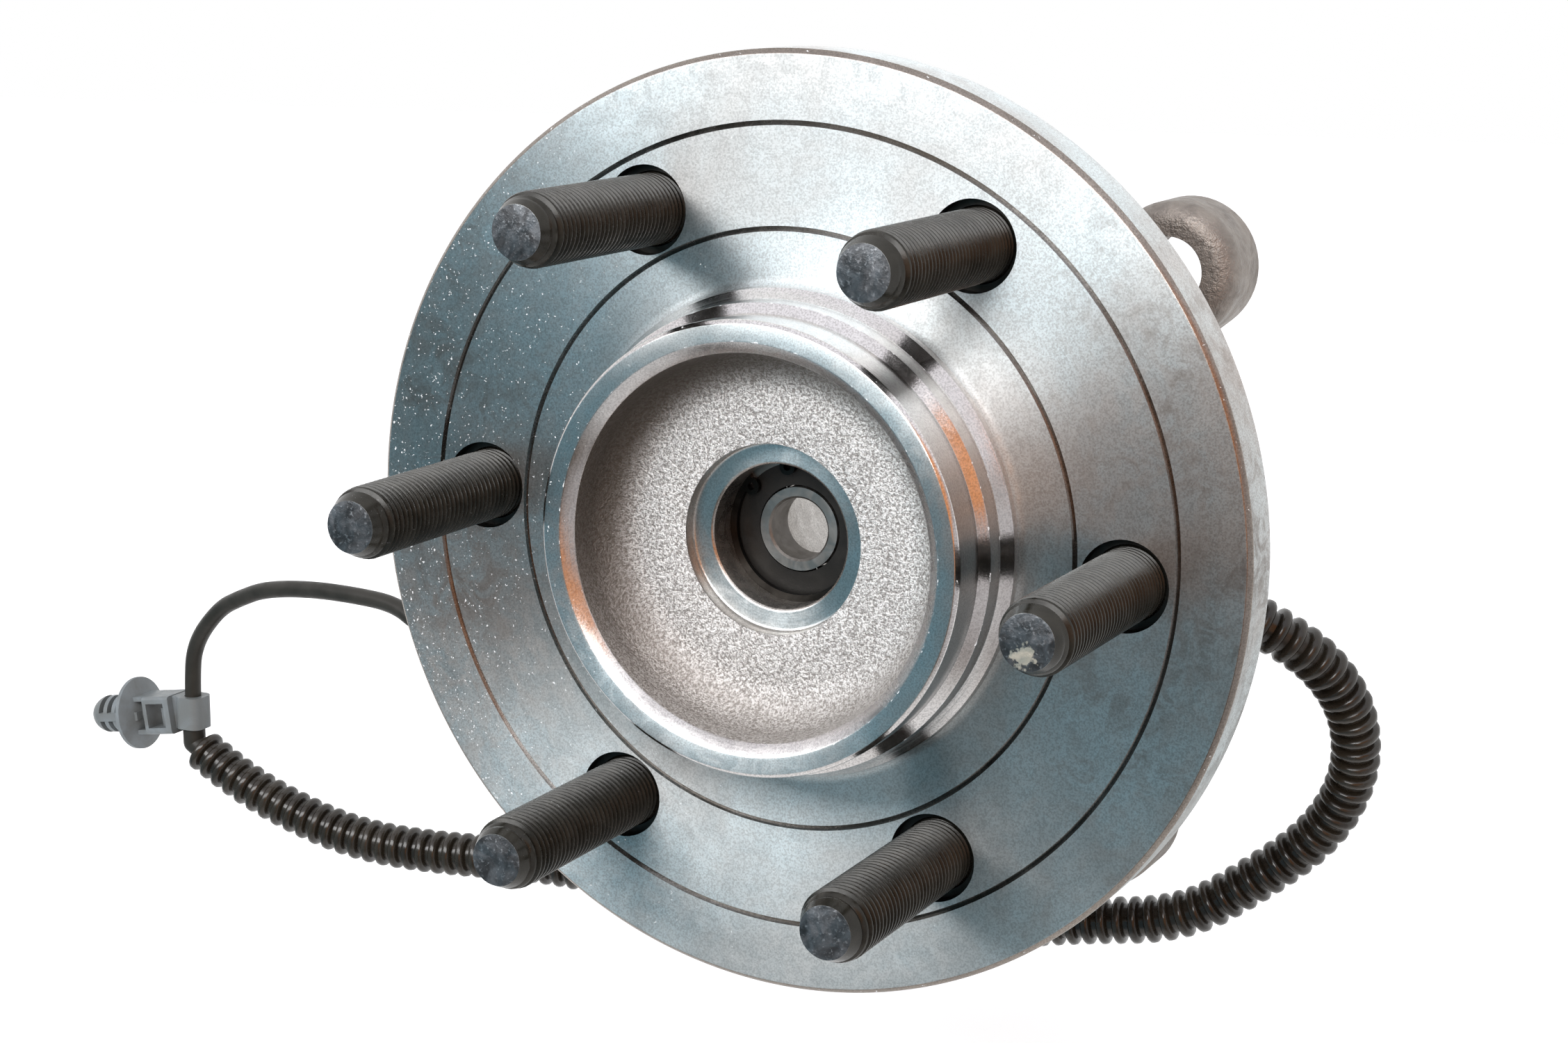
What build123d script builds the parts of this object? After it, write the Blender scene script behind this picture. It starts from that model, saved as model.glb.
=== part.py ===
from build123d import *
import math
import os

os.makedirs("parts", exist_ok=True)

# Front wheel hub bearing of a light truck, in millimetres.
# The wheel spins about Y and faces -Y. +Z is up, and the origin is the middle of the
# face that bolts to the knuckle. Stations along the axle are heights above that face,
# positive outboard, and angles go from +X towards +Z.
axle_section = Plane(origin=(0, 0, 0), x_dir=(1, 0, 0), z_dir=(0, 0, -1))

# ---- Fits and clearances ----
press_gap = 0.01
slip_gap = 0.05
ball_gap = 0.2
lip_gap = 0.35
edge_match = 0.01

# ---- Wheel flange ----
wheel_face = 52.0
flange_r = 91.4
flange_thick = 12.0
flange_bevel = 1.0
mark_groove_radii = (77.7, 58.0)
mark_groove_depth = 0.4

# ---- Pilots for the brake disc and the wheel, and the forged cup inside them ----
nose_length = 19.4
wheel_pilot_r = 43.2
disc_pilot_r = 45.2
pilot_root_r = 47.2
pilot_root_fillet = 2.0
nose_chamfer = 0.8
disc_pilot_end = 9.0
disc_pilot_start = 4.6
pilot_root_length = 2.4
wheel_pilot_start = 10.2
cup_mouth_r = 39.1
cup_wall_r = 36.8
cup_lead = 2.0
cup_draft = 1.4
cup_fillet = 8.0
cup_floor_height = 5.2
cup_crown_height = 7.1
spot_face_r = 18.3
spot_face_height = 4.0
seat_lead = 0.4

# ---- Wheel studs ----
stud_ring_r = 67.5
stud_count = 6
stud_turn = -3.3
stud_r = 7.0
stud_length = 47.8
stud_serration_r = 7.3
stud_serration_length = 8.6
stud_lead_in = 0.6
stud_tip_r = 5.0
stud_tip_length = 4.6
stud_head_r = 10.0
stud_head_thick = 5.0
stud_head_bevel = 1.0
stud_recess_r = 8.6
stud_recess_depth = 3.0

# ---- Main double-row bearing ----
ball_ring_r = 39.5
ball_r = 7.144
ball_count = 14
outboard_row = 23.0
inboard_row = -5.0
inner_shoulder_drop = 2.5
outer_shoulder_rise = 2.7
groove_r = ball_r + ball_gap
track_bottom_r = ball_ring_r - groove_r
track_top_r = ball_ring_r + groove_r
inner_shoulder_r = ball_ring_r - inner_shoulder_drop
outer_shoulder_r = ball_ring_r + outer_shoulder_rise

# ---- Ball cages and seals ----
cage_drop = 4.3
cage_rise = 1.5
cage_ring_thick = 2.2
cage_prong = 4.0
cage_pocket_gap = 0.12
seal_case_wall = 0.9
seal_leg = 6.4
seal_rubber = 1.1
lip_slope = 0.4
flinger_setback = 0.6
flinger_length = 4.4

# ---- Outer ring with its four ears ----
ring_front = 35.0
ring_wall = 8.1
ring_base_step = 2.5
ear_thick = 15.0
ear_ring_r = 79.0
ear_r = 13.3
ear_hole_r = 6.75
ear_count = 4
ear_turn = 38.5
ear_root_fillet = 7.0
ear_edge_fillet = 4.2
spigot_wall = 5.6
spigot_length = 20.0
ring_chamfer = 1.0
seal_shoulder = 0.556
seal_seat_depth = 4.4
inboard_seal_depth = 6.2

# ---- Hub barrel, split inner ring and driven end ----
inner_ring_wall = 3.656
seat_shoulder = 4.0
inner_ring_end = -20.0
drive_ring_width = 12.0
collar_rise = 3.0
collar_length = 3.0
neck_bevel = 2.4
shaft_bore_r = 20.0
shaft_step_r = 15.0
shaft_step_height = 18.0
shaft_bore_top = 35.5
barrel_chamfer = 1.0

# ---- Splined drive ring ----
drive_tooth_count = 40
drive_ring_wall = 5.1
drive_tooth_rise = 2.6
drive_tooth_width = 3.2
drive_tooth_tip = 1.5
drive_tooth_bite = 0.6
drive_tooth_setback = 2.0

# ---- Speed sensor and its target ring ----
target_width = 6.0
target_rise = 1.5
target_rim = 2.4
target_web = 1.8
target_tooth_count = 44
target_slot_depth = 1.6
target_slot_width = 2.6
sensor_turn = -9.5
sensor_height = 9.0
sensor_air_gap = 0.7
port_r = 6.1
pad_half_width = 8.8
pad_rise = 5.5
pad_root_step = 1.6
pad_overhang = 8.5
pad_corner_r = 3.0
sensor_bolt_reach = 17.0
sensor_plate_thick = 3.6
sensor_plate_margin = 0.8
sensor_head_r = 7.8
sensor_head_rise = 9.0
bolt_r = 3.0
bolt_head_af = 8.0
bolt_head_thick = 4.0
bolt_flange_r = 5.6
bolt_flange_thick = 1.2
bolt_length = 13.0
sleeve_wall = 1.1
sleeve_margin = 1.8
sensor_head_fillet = 2.0
oil_seal_drop = 6.0
oil_seal_section_r = 0.85
oil_groove_r = 4.3
oil_groove_width = 2.2

# ---- Sensor lead: boot, corrugated conduit, elbow and bare cable ----
# The lead starts beside the sensor's top, and its steps are measured from there.
lead_offset = (6.26, 0.0, -4.45)
arc_share = 0.45
boot_r = 6.2
boot_length = 10.0
boot_groove_depth = 0.7
boot_groove_width = 0.9
boot_groove_start = 2.0
boot_groove_pitch = 2.0
boot_groove_count = 2
conduit_r = 5.0
conduit_steps = [
    (0.0, 0.0, 0.0), (8.5, 3.5, -5.0), (15.7, 9.9, -12.2), (19.9, 16.9, -22.9),
    (19.1, 22.8, -37.1), (11.9, 25.6, -51.0), (-1.9, 25.2, -62.8), (-16.7, 23.3, -72.8),
    (-38.4, 21.1, -75.5), (-59.1, 18.8, -79.2), (-87.2, 16.8, -81.8), (-113.0, 15.1, -81.8),
    (-140.0, 13.4, -79.3), (-161.1, 11.0, -76.8), (-191.8, 8.2, -78.2), (-211.6, 5.8, -76.6),
    (-230.8, 4.3, -70.5), (-243.8, 3.7, -64.2), (-251.0, 4.0, -59.9),
]
cable_r = 1.9
cable_steps = [
    (-253.2, 4.0, -55.0), (-253.2, 4.0, -44.7), (-251.0, 2.4, -34.2), (-242.3, 0.7, -24.6),
    (-234.3, -1.4, -20.8), (-225.8, -3.9, -17.5), (-212.7, -6.8, -15.5), (-199.0, -9.7, -14.8),
    (-185.2, -12.3, -15.1), (-177.7, -15.0, -18.2), (-170.3, -15.0, -21.0),
]
elbow_r = 2.6

# ---- Push-in cable clip with its strap ----
strap_start = 0.2
strap_width = 7.6
strap_inner_r = cable_r + slip_gap
strap_size = 6.8
strap_corner = 2.2
strap_bite = 0.9
clip_tilt = 8.0
clip_head_start = 3.6
clip_head_length = 7.6
clip_head_height = 9.0
clip_head_depth = 9.0
clip_head_corner = 0.8
clip_window_start = 1.6
clip_window_length = 5.0
clip_window_height = 5.8
clip_pawl_thick = 1.2
clip_pawl_height = 4.4
clip_stem_r = 2.4
clip_gusset_thick = 1.1
clip_disc_r = 8.5
clip_disc_thick = 0.9
clip_disc_start = 13.2
clip_disc_dish = 2.1
clip_web_thick = 2.0
clip_fin_r = 4.4
clip_fin_count = 3
clip_fin_pitch = 2.4
clip_fin_thick = 1.1
clip_nose_start = 24.6
clip_nose_middle_r = 3.1
clip_nose_middle = 27.3
clip_tip_station = 29.0

# ---- Connector at the end of the bare cable ----
gland_r = 4.2
gland_length = 4.0
gland_groove_r = 3.6
gland_groove_width = 0.9
connector_length = 30.0
connector_height = 17.0
connector_depth = 12.5
connector_corner = 1.6
connector_wall = 1.5
connector_mouth = 12.0
latch_start = 8.0
latch_root = 3.0
latch_length = 17.0
latch_width = 6.0
latch_gap = 1.2
latch_thick = 1.5
pin_size = 1.3
pin_spacing = 5.0
pin_length = 8.0

# ---- Small sealed bearing that steadies the shaft tip, and its snap ring ----
tip_bearing_r = 14.0
tip_bearing_bore_r = 6.0
tip_bearing_width = 8.0
tip_bearing_setback = 4.6
tip_inner_ring_r = 8.15
tip_outer_ring_wall_r = 11.8
tip_ball_ring_r = 10.0
tip_ball_r = 2.381
tip_ball_count = 8
tip_ball_gap = 0.1
tip_seal_thick = 0.8
tip_seal_recess = 0.35
tip_seal_r = 12.9
tip_shoulder_r = 11.5
snap_thick = 1.2
snap_groove_r = 14.7
snap_inner_r = 12.7
snap_turn = 120.0
snap_mouth = 7.2
snap_eye_angle = 21.0
snap_eye_r = 1.6
snap_eye_hole_r = 0.75
snap_eye_ring_r = 12.3
tip_bearing_lead = 0.4
tip_cage_half_wall = 0.7
tip_cage_reach = 2.75
tip_cage_pocket_gap = 0.05


def turn(points, mode=Mode.ADD):
    """Turn a closed outline of (radius, height) points about the axle."""
    with BuildSketch(axle_section) as outline:
        with BuildLine():
            Polyline(*points, close=True)
        make_face()
    revolve(outline.sketch, axis=Axis.Y, mode=mode)


def turn_track(height, centre_r, track_r):
    """Cut a round raceway groove at this height."""
    with BuildSketch(axle_section) as outline:
        with Locations((centre_r, height)):
            Circle(track_r)
    revolve(outline.sketch, axis=Axis.Y, mode=Mode.SUBTRACT)


def save(part, name):
    part.label = name
    export_step(part, f"parts/{name}.step")


# ---- Radii that follow from the balls' circle and the walls round it ----
seat_r = track_bottom_r - inner_ring_wall
collar_r = seat_r + collar_rise
drive_root_r = seat_r + drive_ring_wall
drive_tip_r = drive_root_r + drive_tooth_rise
cage_inner_r = ball_ring_r - cage_drop
cage_outer_r = ball_ring_r + cage_rise
target_r = ball_ring_r + target_rise
seal_bore_r = track_top_r + seal_shoulder
spigot_r = seal_bore_r + spigot_wall
ring_nose_r = seal_bore_r + ring_wall
ring_base_r = ring_nose_r + ring_base_step
pad_top_r = ring_nose_r + pad_rise
pad_root_r = seal_bore_r + pad_root_step

# ---- Wheel hub: flange, stepped pilot, cup, bore and barrel in one forging ----
flange_back = wheel_face - flange_thick
nose_front = wheel_face + nose_length
barrel_end = inner_ring_end - drive_ring_width - collar_length
collar_start = inner_ring_end - drive_ring_width
tip_bearing_front = wheel_face - tip_bearing_setback
seat_back = tip_bearing_front - tip_bearing_width
snap_low = tip_bearing_front + slip_gap
snap_high = snap_low + snap_thick
cup_corner_r = cup_wall_r - cup_draft


def hub_face_outline():
    """Wheel face and stepped pilot, from the rim inwards to the nose."""
    points = [(flange_r, wheel_face - flange_bevel), (flange_r - flange_bevel, wheel_face)]
    for groove in mark_groove_radii:
        points.append((groove + mark_groove_depth, wheel_face))
        points.append((groove, wheel_face - mark_groove_depth))
        points.append((groove - mark_groove_depth, wheel_face))
    points += [
        (pilot_root_r, wheel_face),
        (pilot_root_r, wheel_face + pilot_root_length),
        (disc_pilot_r, wheel_face + disc_pilot_start),
        (disc_pilot_r, wheel_face + disc_pilot_end),
        (wheel_pilot_r, wheel_face + wheel_pilot_start),
        (wheel_pilot_r, nose_front - nose_chamfer),
        (wheel_pilot_r - nose_chamfer, nose_front),
        (cup_mouth_r, nose_front),
    ]
    return points


def hub_bore_outline():
    """Cup, spot face, bearing seat and shaft bore, from the nose to the barrel's end."""
    return [
        (cup_wall_r, nose_front - cup_lead),
        (cup_corner_r, wheel_face + cup_floor_height),
        (spot_face_r, wheel_face + cup_crown_height),
        (spot_face_r, wheel_face + spot_face_height),
        (tip_bearing_r + seat_lead, wheel_face + spot_face_height),
        (tip_bearing_r + press_gap, wheel_face + spot_face_height - seat_lead),
        (tip_bearing_r + press_gap, snap_high + slip_gap),
        (snap_groove_r, snap_high + slip_gap),
        (snap_groove_r, snap_low - slip_gap),
        (tip_bearing_r + press_gap, snap_low - slip_gap),
        (tip_bearing_r + press_gap, seat_back),
        (tip_shoulder_r, seat_back),
        (tip_shoulder_r, shaft_bore_top),
        (shaft_step_r, shaft_bore_top),
        (shaft_step_r, shaft_step_height),
        (shaft_bore_r, shaft_step_height),
        (shaft_bore_r, barrel_end + barrel_chamfer),
        (shaft_bore_r + barrel_chamfer, barrel_end),
    ]


def hub_barrel_outline():
    """Rolled collar, ring seat, track land and neck, from the barrel's end to the flange."""
    return [
        (collar_r - barrel_chamfer, barrel_end),
        (collar_r, barrel_end + barrel_chamfer),
        (collar_r, collar_start - press_gap),
        (seat_r, collar_start - press_gap),
        (seat_r, seat_shoulder),
        (track_bottom_r, seat_shoulder),
        (track_bottom_r, outboard_row),
        (inner_shoulder_r, outboard_row),
        (inner_shoulder_r, flange_back - neck_bevel),
        (inner_shoulder_r + neck_bevel, flange_back),
        (flange_r - flange_bevel, flange_back),
        (flange_r, flange_back + flange_bevel),
    ]


with BuildPart() as wheel_hub:
    turn(hub_face_outline() + hub_bore_outline() + hub_barrel_outline())
    turn_track(outboard_row, ball_ring_r, groove_r)
    with Locations(Plane.XZ.offset(wheel_face)):
        with PolarLocations(stud_ring_r, stud_count, start_angle=stud_turn):
            CounterBoreHole(stud_serration_r + press_gap, stud_recess_r, stud_recess_depth)
    hub_circles = wheel_hub.edges().filter_by(GeomType.CIRCLE)
    pilot_root = hub_circles.filter_by(
        lambda e: abs(e.radius - pilot_root_r) < edge_match
        and abs(e.center().Y + wheel_face) < edge_match)
    fillet(pilot_root, pilot_root_fillet)
    cup_corner = hub_circles.filter_by(
        lambda e: abs(e.radius - cup_corner_r) < edge_match
        and abs(e.center().Y + wheel_face + cup_floor_height) < edge_match)
    fillet(cup_corner, cup_fillet)
save(wheel_hub.part, "wheel_hub")

# ---- Wheel studs: serrated shank pressed through the flange, head behind it ----
thread_start = stud_serration_length - flange_thick
stud_outline = [
    (0, -flange_thick - stud_head_thick),
    (stud_head_r - stud_head_bevel, -flange_thick - stud_head_thick),
    (stud_head_r, -flange_thick - stud_head_thick + stud_head_bevel),
    (stud_head_r, -flange_thick),
    (stud_serration_r, -flange_thick),
    (stud_serration_r, thread_start),
    (stud_r, thread_start + stud_lead_in),
    (stud_r, stud_length - stud_tip_length),
    (stud_tip_r, stud_length),
    (0, stud_length),
]
with BuildPart() as one_stud:
    with BuildSketch(Plane.XZ):
        with BuildLine():
            Polyline(*stud_outline, close=True)
        make_face()
    revolve(axis=Axis.Z)
with BuildPart() as wheel_studs:
    with Locations(Plane.XZ.offset(wheel_face)):
        with PolarLocations(stud_ring_r, stud_count, start_angle=stud_turn):
            add(one_stud.part)
save(wheel_studs.part, "wheel_studs")

# ---- Split inner ring: carries the inboard track ----
with BuildPart() as inner_ring:
    turn([
        (seat_r + press_gap, seat_shoulder - press_gap),
        (track_bottom_r, seat_shoulder - press_gap),
        (track_bottom_r, inboard_row),
        (inner_shoulder_r, inboard_row),
        (inner_shoulder_r, inner_ring_end + ring_chamfer),
        (inner_shoulder_r - ring_chamfer, inner_ring_end),
        (seat_r + press_gap, inner_ring_end),
    ])
    turn_track(inboard_row, ball_ring_r, groove_r)
save(inner_ring.part, "inner_ring")

# ---- Drive ring: the shaft's clutch collar slides over these splines ----
drive_tooth_height = drive_tooth_rise + drive_tooth_bite
drive_tooth_flank = math.degrees(math.atan2(2 * drive_tooth_height, drive_tooth_width - drive_tooth_tip))
with BuildPart() as drive_ring:
    turn([
        (seat_r + press_gap, inner_ring_end - press_gap),
        (drive_root_r, inner_ring_end - press_gap),
        (drive_root_r, collar_start),
        (seat_r + press_gap, collar_start),
    ])
    with BuildSketch(Plane.XZ.offset(collar_start)):
        with PolarLocations((drive_root_r + drive_tip_r - drive_tooth_bite) / 2, drive_tooth_count):
            Trapezoid(drive_tooth_width, drive_tooth_height, drive_tooth_flank, rotation=-90)
    extrude(amount=drive_ring_width - drive_tooth_setback)
save(drive_ring.part, "drive_ring")

# ---- Outer ring: two outer tracks, four ears, spigot and sensor pad ----
with BuildPart() as ear_plate:
    with BuildSketch(Plane.XZ):
        Circle(ring_base_r)
        with PolarLocations(ear_ring_r / 2, ear_count, start_angle=ear_turn):
            Rectangle(ear_ring_r, 2 * ear_r)
        with PolarLocations(ear_ring_r, ear_count, start_angle=ear_turn):
            Circle(ear_r)
        Circle(seal_bore_r, mode=Mode.SUBTRACT)
    extrude(amount=ear_thick)
    ear_roots = ear_plate.edges().filter_by(Axis.Y).filter_by(
        lambda e: math.hypot(e.center().X, e.center().Z) < ear_ring_r)
    fillet(ear_roots, ear_root_fillet)
    front_edges = ear_plate.edges().group_by(Axis.Y)[0].filter_by(
        lambda e: math.hypot(e.center().X, e.center().Z) > ring_nose_r)
    fillet(front_edges, ear_edge_fillet)

sensor_angle = math.radians(sensor_turn)
pad_length = 2 * (pad_overhang + sensor_bolt_reach / 2 + pad_corner_r)
sensor_plane = Plane(
    origin=(0, -sensor_height, 0),
    x_dir=(0, 1, 0),
    z_dir=(math.cos(sensor_angle), 0, math.sin(sensor_angle)),
)
with BuildPart() as outer_ring:
    turn([
        (seal_bore_r, ring_front),
        (ring_nose_r - ring_chamfer, ring_front),
        (ring_nose_r, ring_front - ring_chamfer),
        (ring_nose_r, 0),
        (spigot_r, 0),
        (spigot_r, ring_chamfer - spigot_length),
        (spigot_r - ring_chamfer, -spigot_length),
        (seal_bore_r, -spigot_length),
        (seal_bore_r, inboard_seal_depth - spigot_length),
        (track_top_r, inboard_seal_depth - spigot_length),
        (track_top_r, inboard_row),
        (outer_shoulder_r, inboard_row),
        (outer_shoulder_r, outboard_row),
        (track_top_r, outboard_row),
        (track_top_r, ring_front - seal_seat_depth),
        (seal_bore_r, ring_front - seal_seat_depth),
    ])
    add(ear_plate.part)
    with BuildSketch(sensor_plane.offset(pad_root_r)):
        with Locations((0, pad_overhang)):
            RectangleRounded(2 * pad_half_width, pad_length, pad_corner_r)
    extrude(amount=pad_top_r - pad_root_r)
    turn_track(outboard_row, ball_ring_r, groove_r)
    turn_track(inboard_row, ball_ring_r, groove_r)
    with Locations(Plane.XZ.offset(ear_thick)):
        with PolarLocations(ear_ring_r, ear_count, start_angle=ear_turn):
            Hole(ear_hole_r)
    with BuildSketch(sensor_plane.offset(ball_ring_r)):
        Circle(port_r)
    extrude(amount=pad_top_r - ball_ring_r, mode=Mode.SUBTRACT)
    with BuildSketch(sensor_plane.offset(pad_top_r)):
        with Locations((0, sensor_bolt_reach)):
            Circle(bolt_r + slip_gap)
    extrude(amount=-(bolt_length - sensor_plate_thick), mode=Mode.SUBTRACT)
save(outer_ring.part, "outer_ring")

# ---- Balls and cages: the cages open inboard and outboard, rings towards the middle ----


def ball_row(height, count, circle_r, sphere_r):
    """Spheres spread evenly round the axle at this height."""
    with Locations(Plane.XZ.offset(height)):
        with PolarLocations(circle_r, count):
            Sphere(sphere_r)


def cage(ring_height, prong_height, height):
    """Ring with a pocketed crown; prong_height is on the side away from the ring."""
    turn([
        (cage_inner_r, ring_height),
        (cage_outer_r, ring_height),
        (cage_outer_r, prong_height),
        (cage_inner_r, prong_height),
    ])
    with Locations(Plane.XZ.offset(height)):
        with PolarLocations(ball_ring_r, ball_count):
            Sphere(ball_r + cage_pocket_gap, mode=Mode.SUBTRACT)


cage_ring_depth = ball_r + cage_ring_thick
with BuildPart() as outboard_balls:
    ball_row(outboard_row, ball_count, ball_ring_r, ball_r)
save(outboard_balls.part, "outboard_balls")

with BuildPart() as inboard_balls:
    ball_row(inboard_row, ball_count, ball_ring_r, ball_r)
save(inboard_balls.part, "inboard_balls")

with BuildPart() as outboard_cage:
    cage(outboard_row - cage_ring_depth, outboard_row + cage_prong, outboard_row)
save(outboard_cage.part, "outboard_cage")

with BuildPart() as inboard_cage:
    cage(inboard_row + cage_ring_depth, inboard_row - cage_prong, inboard_row)
save(inboard_cage.part, "inboard_cage")

# ---- Speed target: slotted steel ring pressed on the barrel between the two rows ----
target_low = sensor_height - target_width / 2
target_high = sensor_height + target_width / 2
with BuildPart() as target_ring:
    turn([
        (track_bottom_r + press_gap, target_low),
        (target_r, target_low),
        (target_r, target_high),
        (target_r - target_rim, target_high),
        (target_r - target_rim, target_low + target_web),
        (track_bottom_r + target_rim, target_low + target_web),
        (track_bottom_r + target_rim, target_high),
        (track_bottom_r + press_gap, target_high),
    ])
    with Locations(Plane.XZ.offset(sensor_height)):
        with PolarLocations(target_r, target_tooth_count):
            Box(2 * target_slot_depth, target_slot_width, target_width, mode=Mode.SUBTRACT)
save(target_ring.part, "target_ring")

# ---- Main seals: a pressed steel case and a rubber lip each side ----
seal_seat_end = ring_front - seal_seat_depth
spigot_end = -spigot_length
inboard_seat_end = spigot_end + inboard_seal_depth
case_r = seal_bore_r - press_gap
case_inner_r = case_r - seal_case_wall
seal_leg_r = seal_bore_r - seal_leg
with BuildPart() as outboard_seal_case:
    turn([
        (seal_leg_r, seal_seat_end),
        (case_r, seal_seat_end),
        (case_r, ring_front),
        (case_inner_r, ring_front),
        (case_inner_r, seal_seat_end + seal_case_wall),
        (seal_leg_r, seal_seat_end + seal_case_wall),
    ])
save(outboard_seal_case.part, "outboard_seal_case")

with BuildPart() as outboard_seal_lip:
    turn([
        (inner_shoulder_r + lip_gap, seal_seat_end + seal_case_wall + lip_slope),
        (seal_leg_r, seal_seat_end + seal_case_wall),
        (case_inner_r, seal_seat_end + seal_case_wall),
        (case_inner_r, ring_front),
        (case_inner_r - seal_rubber, flange_back - lip_gap),
        (case_inner_r - 2 * seal_rubber, flange_back - lip_gap),
        (case_inner_r - seal_rubber, ring_front - seal_rubber),
        (seal_leg_r + seal_rubber, ring_front - 2 * seal_rubber),
        (inner_shoulder_r + lip_gap + seal_rubber / 2, ring_front),
        (inner_shoulder_r + lip_gap, ring_front - seal_rubber),
    ])
save(outboard_seal_lip.part, "outboard_seal_lip")

with BuildPart() as inboard_seal_case:
    turn([
        (seal_leg_r, inboard_seat_end),
        (case_r, inboard_seat_end),
        (case_r, spigot_end),
        (case_inner_r, spigot_end),
        (case_inner_r, inboard_seat_end - seal_case_wall),
        (seal_leg_r, inboard_seat_end - seal_case_wall),
    ])
save(inboard_seal_case.part, "inboard_seal_case")

# ---- Flinger: turns with the inner ring and faces the inboard lip ----
flinger_face = spigot_end + flinger_setback
with BuildPart() as flinger:
    turn([
        (inner_shoulder_r + press_gap, flinger_face),
        (case_inner_r - lip_gap, flinger_face),
        (case_inner_r - lip_gap, flinger_face + seal_case_wall),
        (inner_shoulder_r + seal_case_wall, flinger_face + seal_case_wall),
        (inner_shoulder_r + seal_case_wall, flinger_face + flinger_length),
        (inner_shoulder_r + press_gap, flinger_face + flinger_length),
    ])
save(flinger.part, "flinger")

with BuildPart() as inboard_seal_lip:
    turn([
        (inner_shoulder_r + seal_case_wall + lip_gap, inboard_seat_end - seal_case_wall - lip_slope),
        (seal_leg_r, inboard_seat_end - seal_case_wall),
        (case_inner_r, inboard_seat_end - seal_case_wall),
        (case_inner_r, flinger_face + seal_case_wall + seal_rubber + lip_gap),
        (seal_leg_r + 2 * seal_rubber, flinger_face + seal_case_wall + lip_gap),
        (seal_leg_r + seal_rubber, flinger_face + seal_case_wall + lip_gap),
        (seal_leg_r + seal_rubber, inboard_seat_end - seal_case_wall - seal_rubber),
        (inner_shoulder_r + seal_case_wall + lip_gap, inboard_seat_end - 2 * seal_rubber),
    ])
save(inboard_seal_lip.part, "inboard_seal_lip")

# ---- Small sealed bearing in the hub's bore ----
tip_middle = tip_bearing_front - tip_bearing_width / 2
tip_groove_r = tip_ball_r + tip_ball_gap
seal_out = tip_bearing_front - tip_seal_recess
seal_in = seat_back + tip_seal_recess
with BuildPart() as tip_outer_ring:
    turn([
        (tip_outer_ring_wall_r, seal_in + tip_seal_thick),
        (tip_seal_r, seal_in + tip_seal_thick),
        (tip_seal_r, seat_back),
        (tip_bearing_r, seat_back),
        (tip_bearing_r, tip_bearing_front),
        (tip_seal_r, tip_bearing_front),
        (tip_seal_r, seal_out - tip_seal_thick),
        (tip_outer_ring_wall_r, seal_out - tip_seal_thick),
    ])
    turn_track(tip_middle, tip_ball_ring_r, tip_groove_r)
save(tip_outer_ring.part, "tip_bearing_outer_ring")

with BuildPart() as tip_inner_ring:
    turn([
        (tip_bearing_bore_r + tip_bearing_lead, seat_back),
        (tip_inner_ring_r, seat_back),
        (tip_inner_ring_r, tip_bearing_front),
        (tip_bearing_bore_r + tip_bearing_lead, tip_bearing_front),
        (tip_bearing_bore_r, tip_bearing_front - tip_bearing_lead),
        (tip_bearing_bore_r, seat_back + tip_bearing_lead),
    ])
    turn_track(tip_middle, tip_ball_ring_r, tip_groove_r)
save(tip_inner_ring.part, "tip_bearing_inner_ring")

with BuildPart() as tip_front_seal:
    turn([
        (tip_inner_ring_r + lip_gap, seal_out),
        (tip_seal_r, seal_out),
        (tip_seal_r, seal_out - tip_seal_thick),
        (tip_inner_ring_r + lip_gap, seal_out - tip_seal_thick),
    ])
save(tip_front_seal.part, "tip_bearing_front_seal")

with BuildPart() as tip_rear_seal:
    turn([
        (tip_inner_ring_r + lip_gap, seal_in),
        (tip_seal_r, seal_in),
        (tip_seal_r, seal_in + tip_seal_thick),
        (tip_inner_ring_r + lip_gap, seal_in + tip_seal_thick),
    ])
save(tip_rear_seal.part, "tip_bearing_rear_seal")

with BuildPart() as tip_balls:
    ball_row(tip_middle, tip_ball_count, tip_ball_ring_r, tip_ball_r)
save(tip_balls.part, "tip_bearing_balls")

with BuildPart() as tip_cage:
    turn([
        (tip_ball_ring_r - tip_cage_half_wall, tip_middle - tip_cage_reach),
        (tip_ball_ring_r + tip_cage_half_wall, tip_middle - tip_cage_reach),
        (tip_ball_ring_r + tip_cage_half_wall, tip_middle + tip_cage_reach),
        (tip_ball_ring_r - tip_cage_half_wall, tip_middle + tip_cage_reach),
    ])
    with Locations(Plane.XZ.offset(tip_middle)):
        with PolarLocations(tip_ball_ring_r, tip_ball_count):
            Cylinder(tip_ball_r + tip_cage_pocket_gap, 4 * tip_cage_half_wall,
                     rotation=(0, 90, 0), mode=Mode.SUBTRACT)
save(tip_cage.part, "tip_bearing_cage")

# ---- Snap ring: open spring ring with two plier eyes, in the groove before the bearing ----
with BuildPart() as snap_ring:
    with BuildSketch(Plane.XZ.offset(snap_low)):
        Circle(snap_groove_r - slip_gap)
        Circle(snap_inner_r, mode=Mode.SUBTRACT)
        with Locations(Rotation(0, 0, snap_turn)):
            with Locations((snap_groove_r, 0)):
                Rectangle(2 * snap_groove_r, snap_mouth, mode=Mode.SUBTRACT)
        for side in (-1, 1):
            with PolarLocations(snap_eye_ring_r, 1, start_angle=snap_turn + side * snap_eye_angle):
                Circle(snap_eye_r)
                Circle(snap_eye_hole_r, mode=Mode.SUBTRACT)
    extrude(amount=snap_thick)
save(snap_ring.part, "snap_ring")

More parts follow.
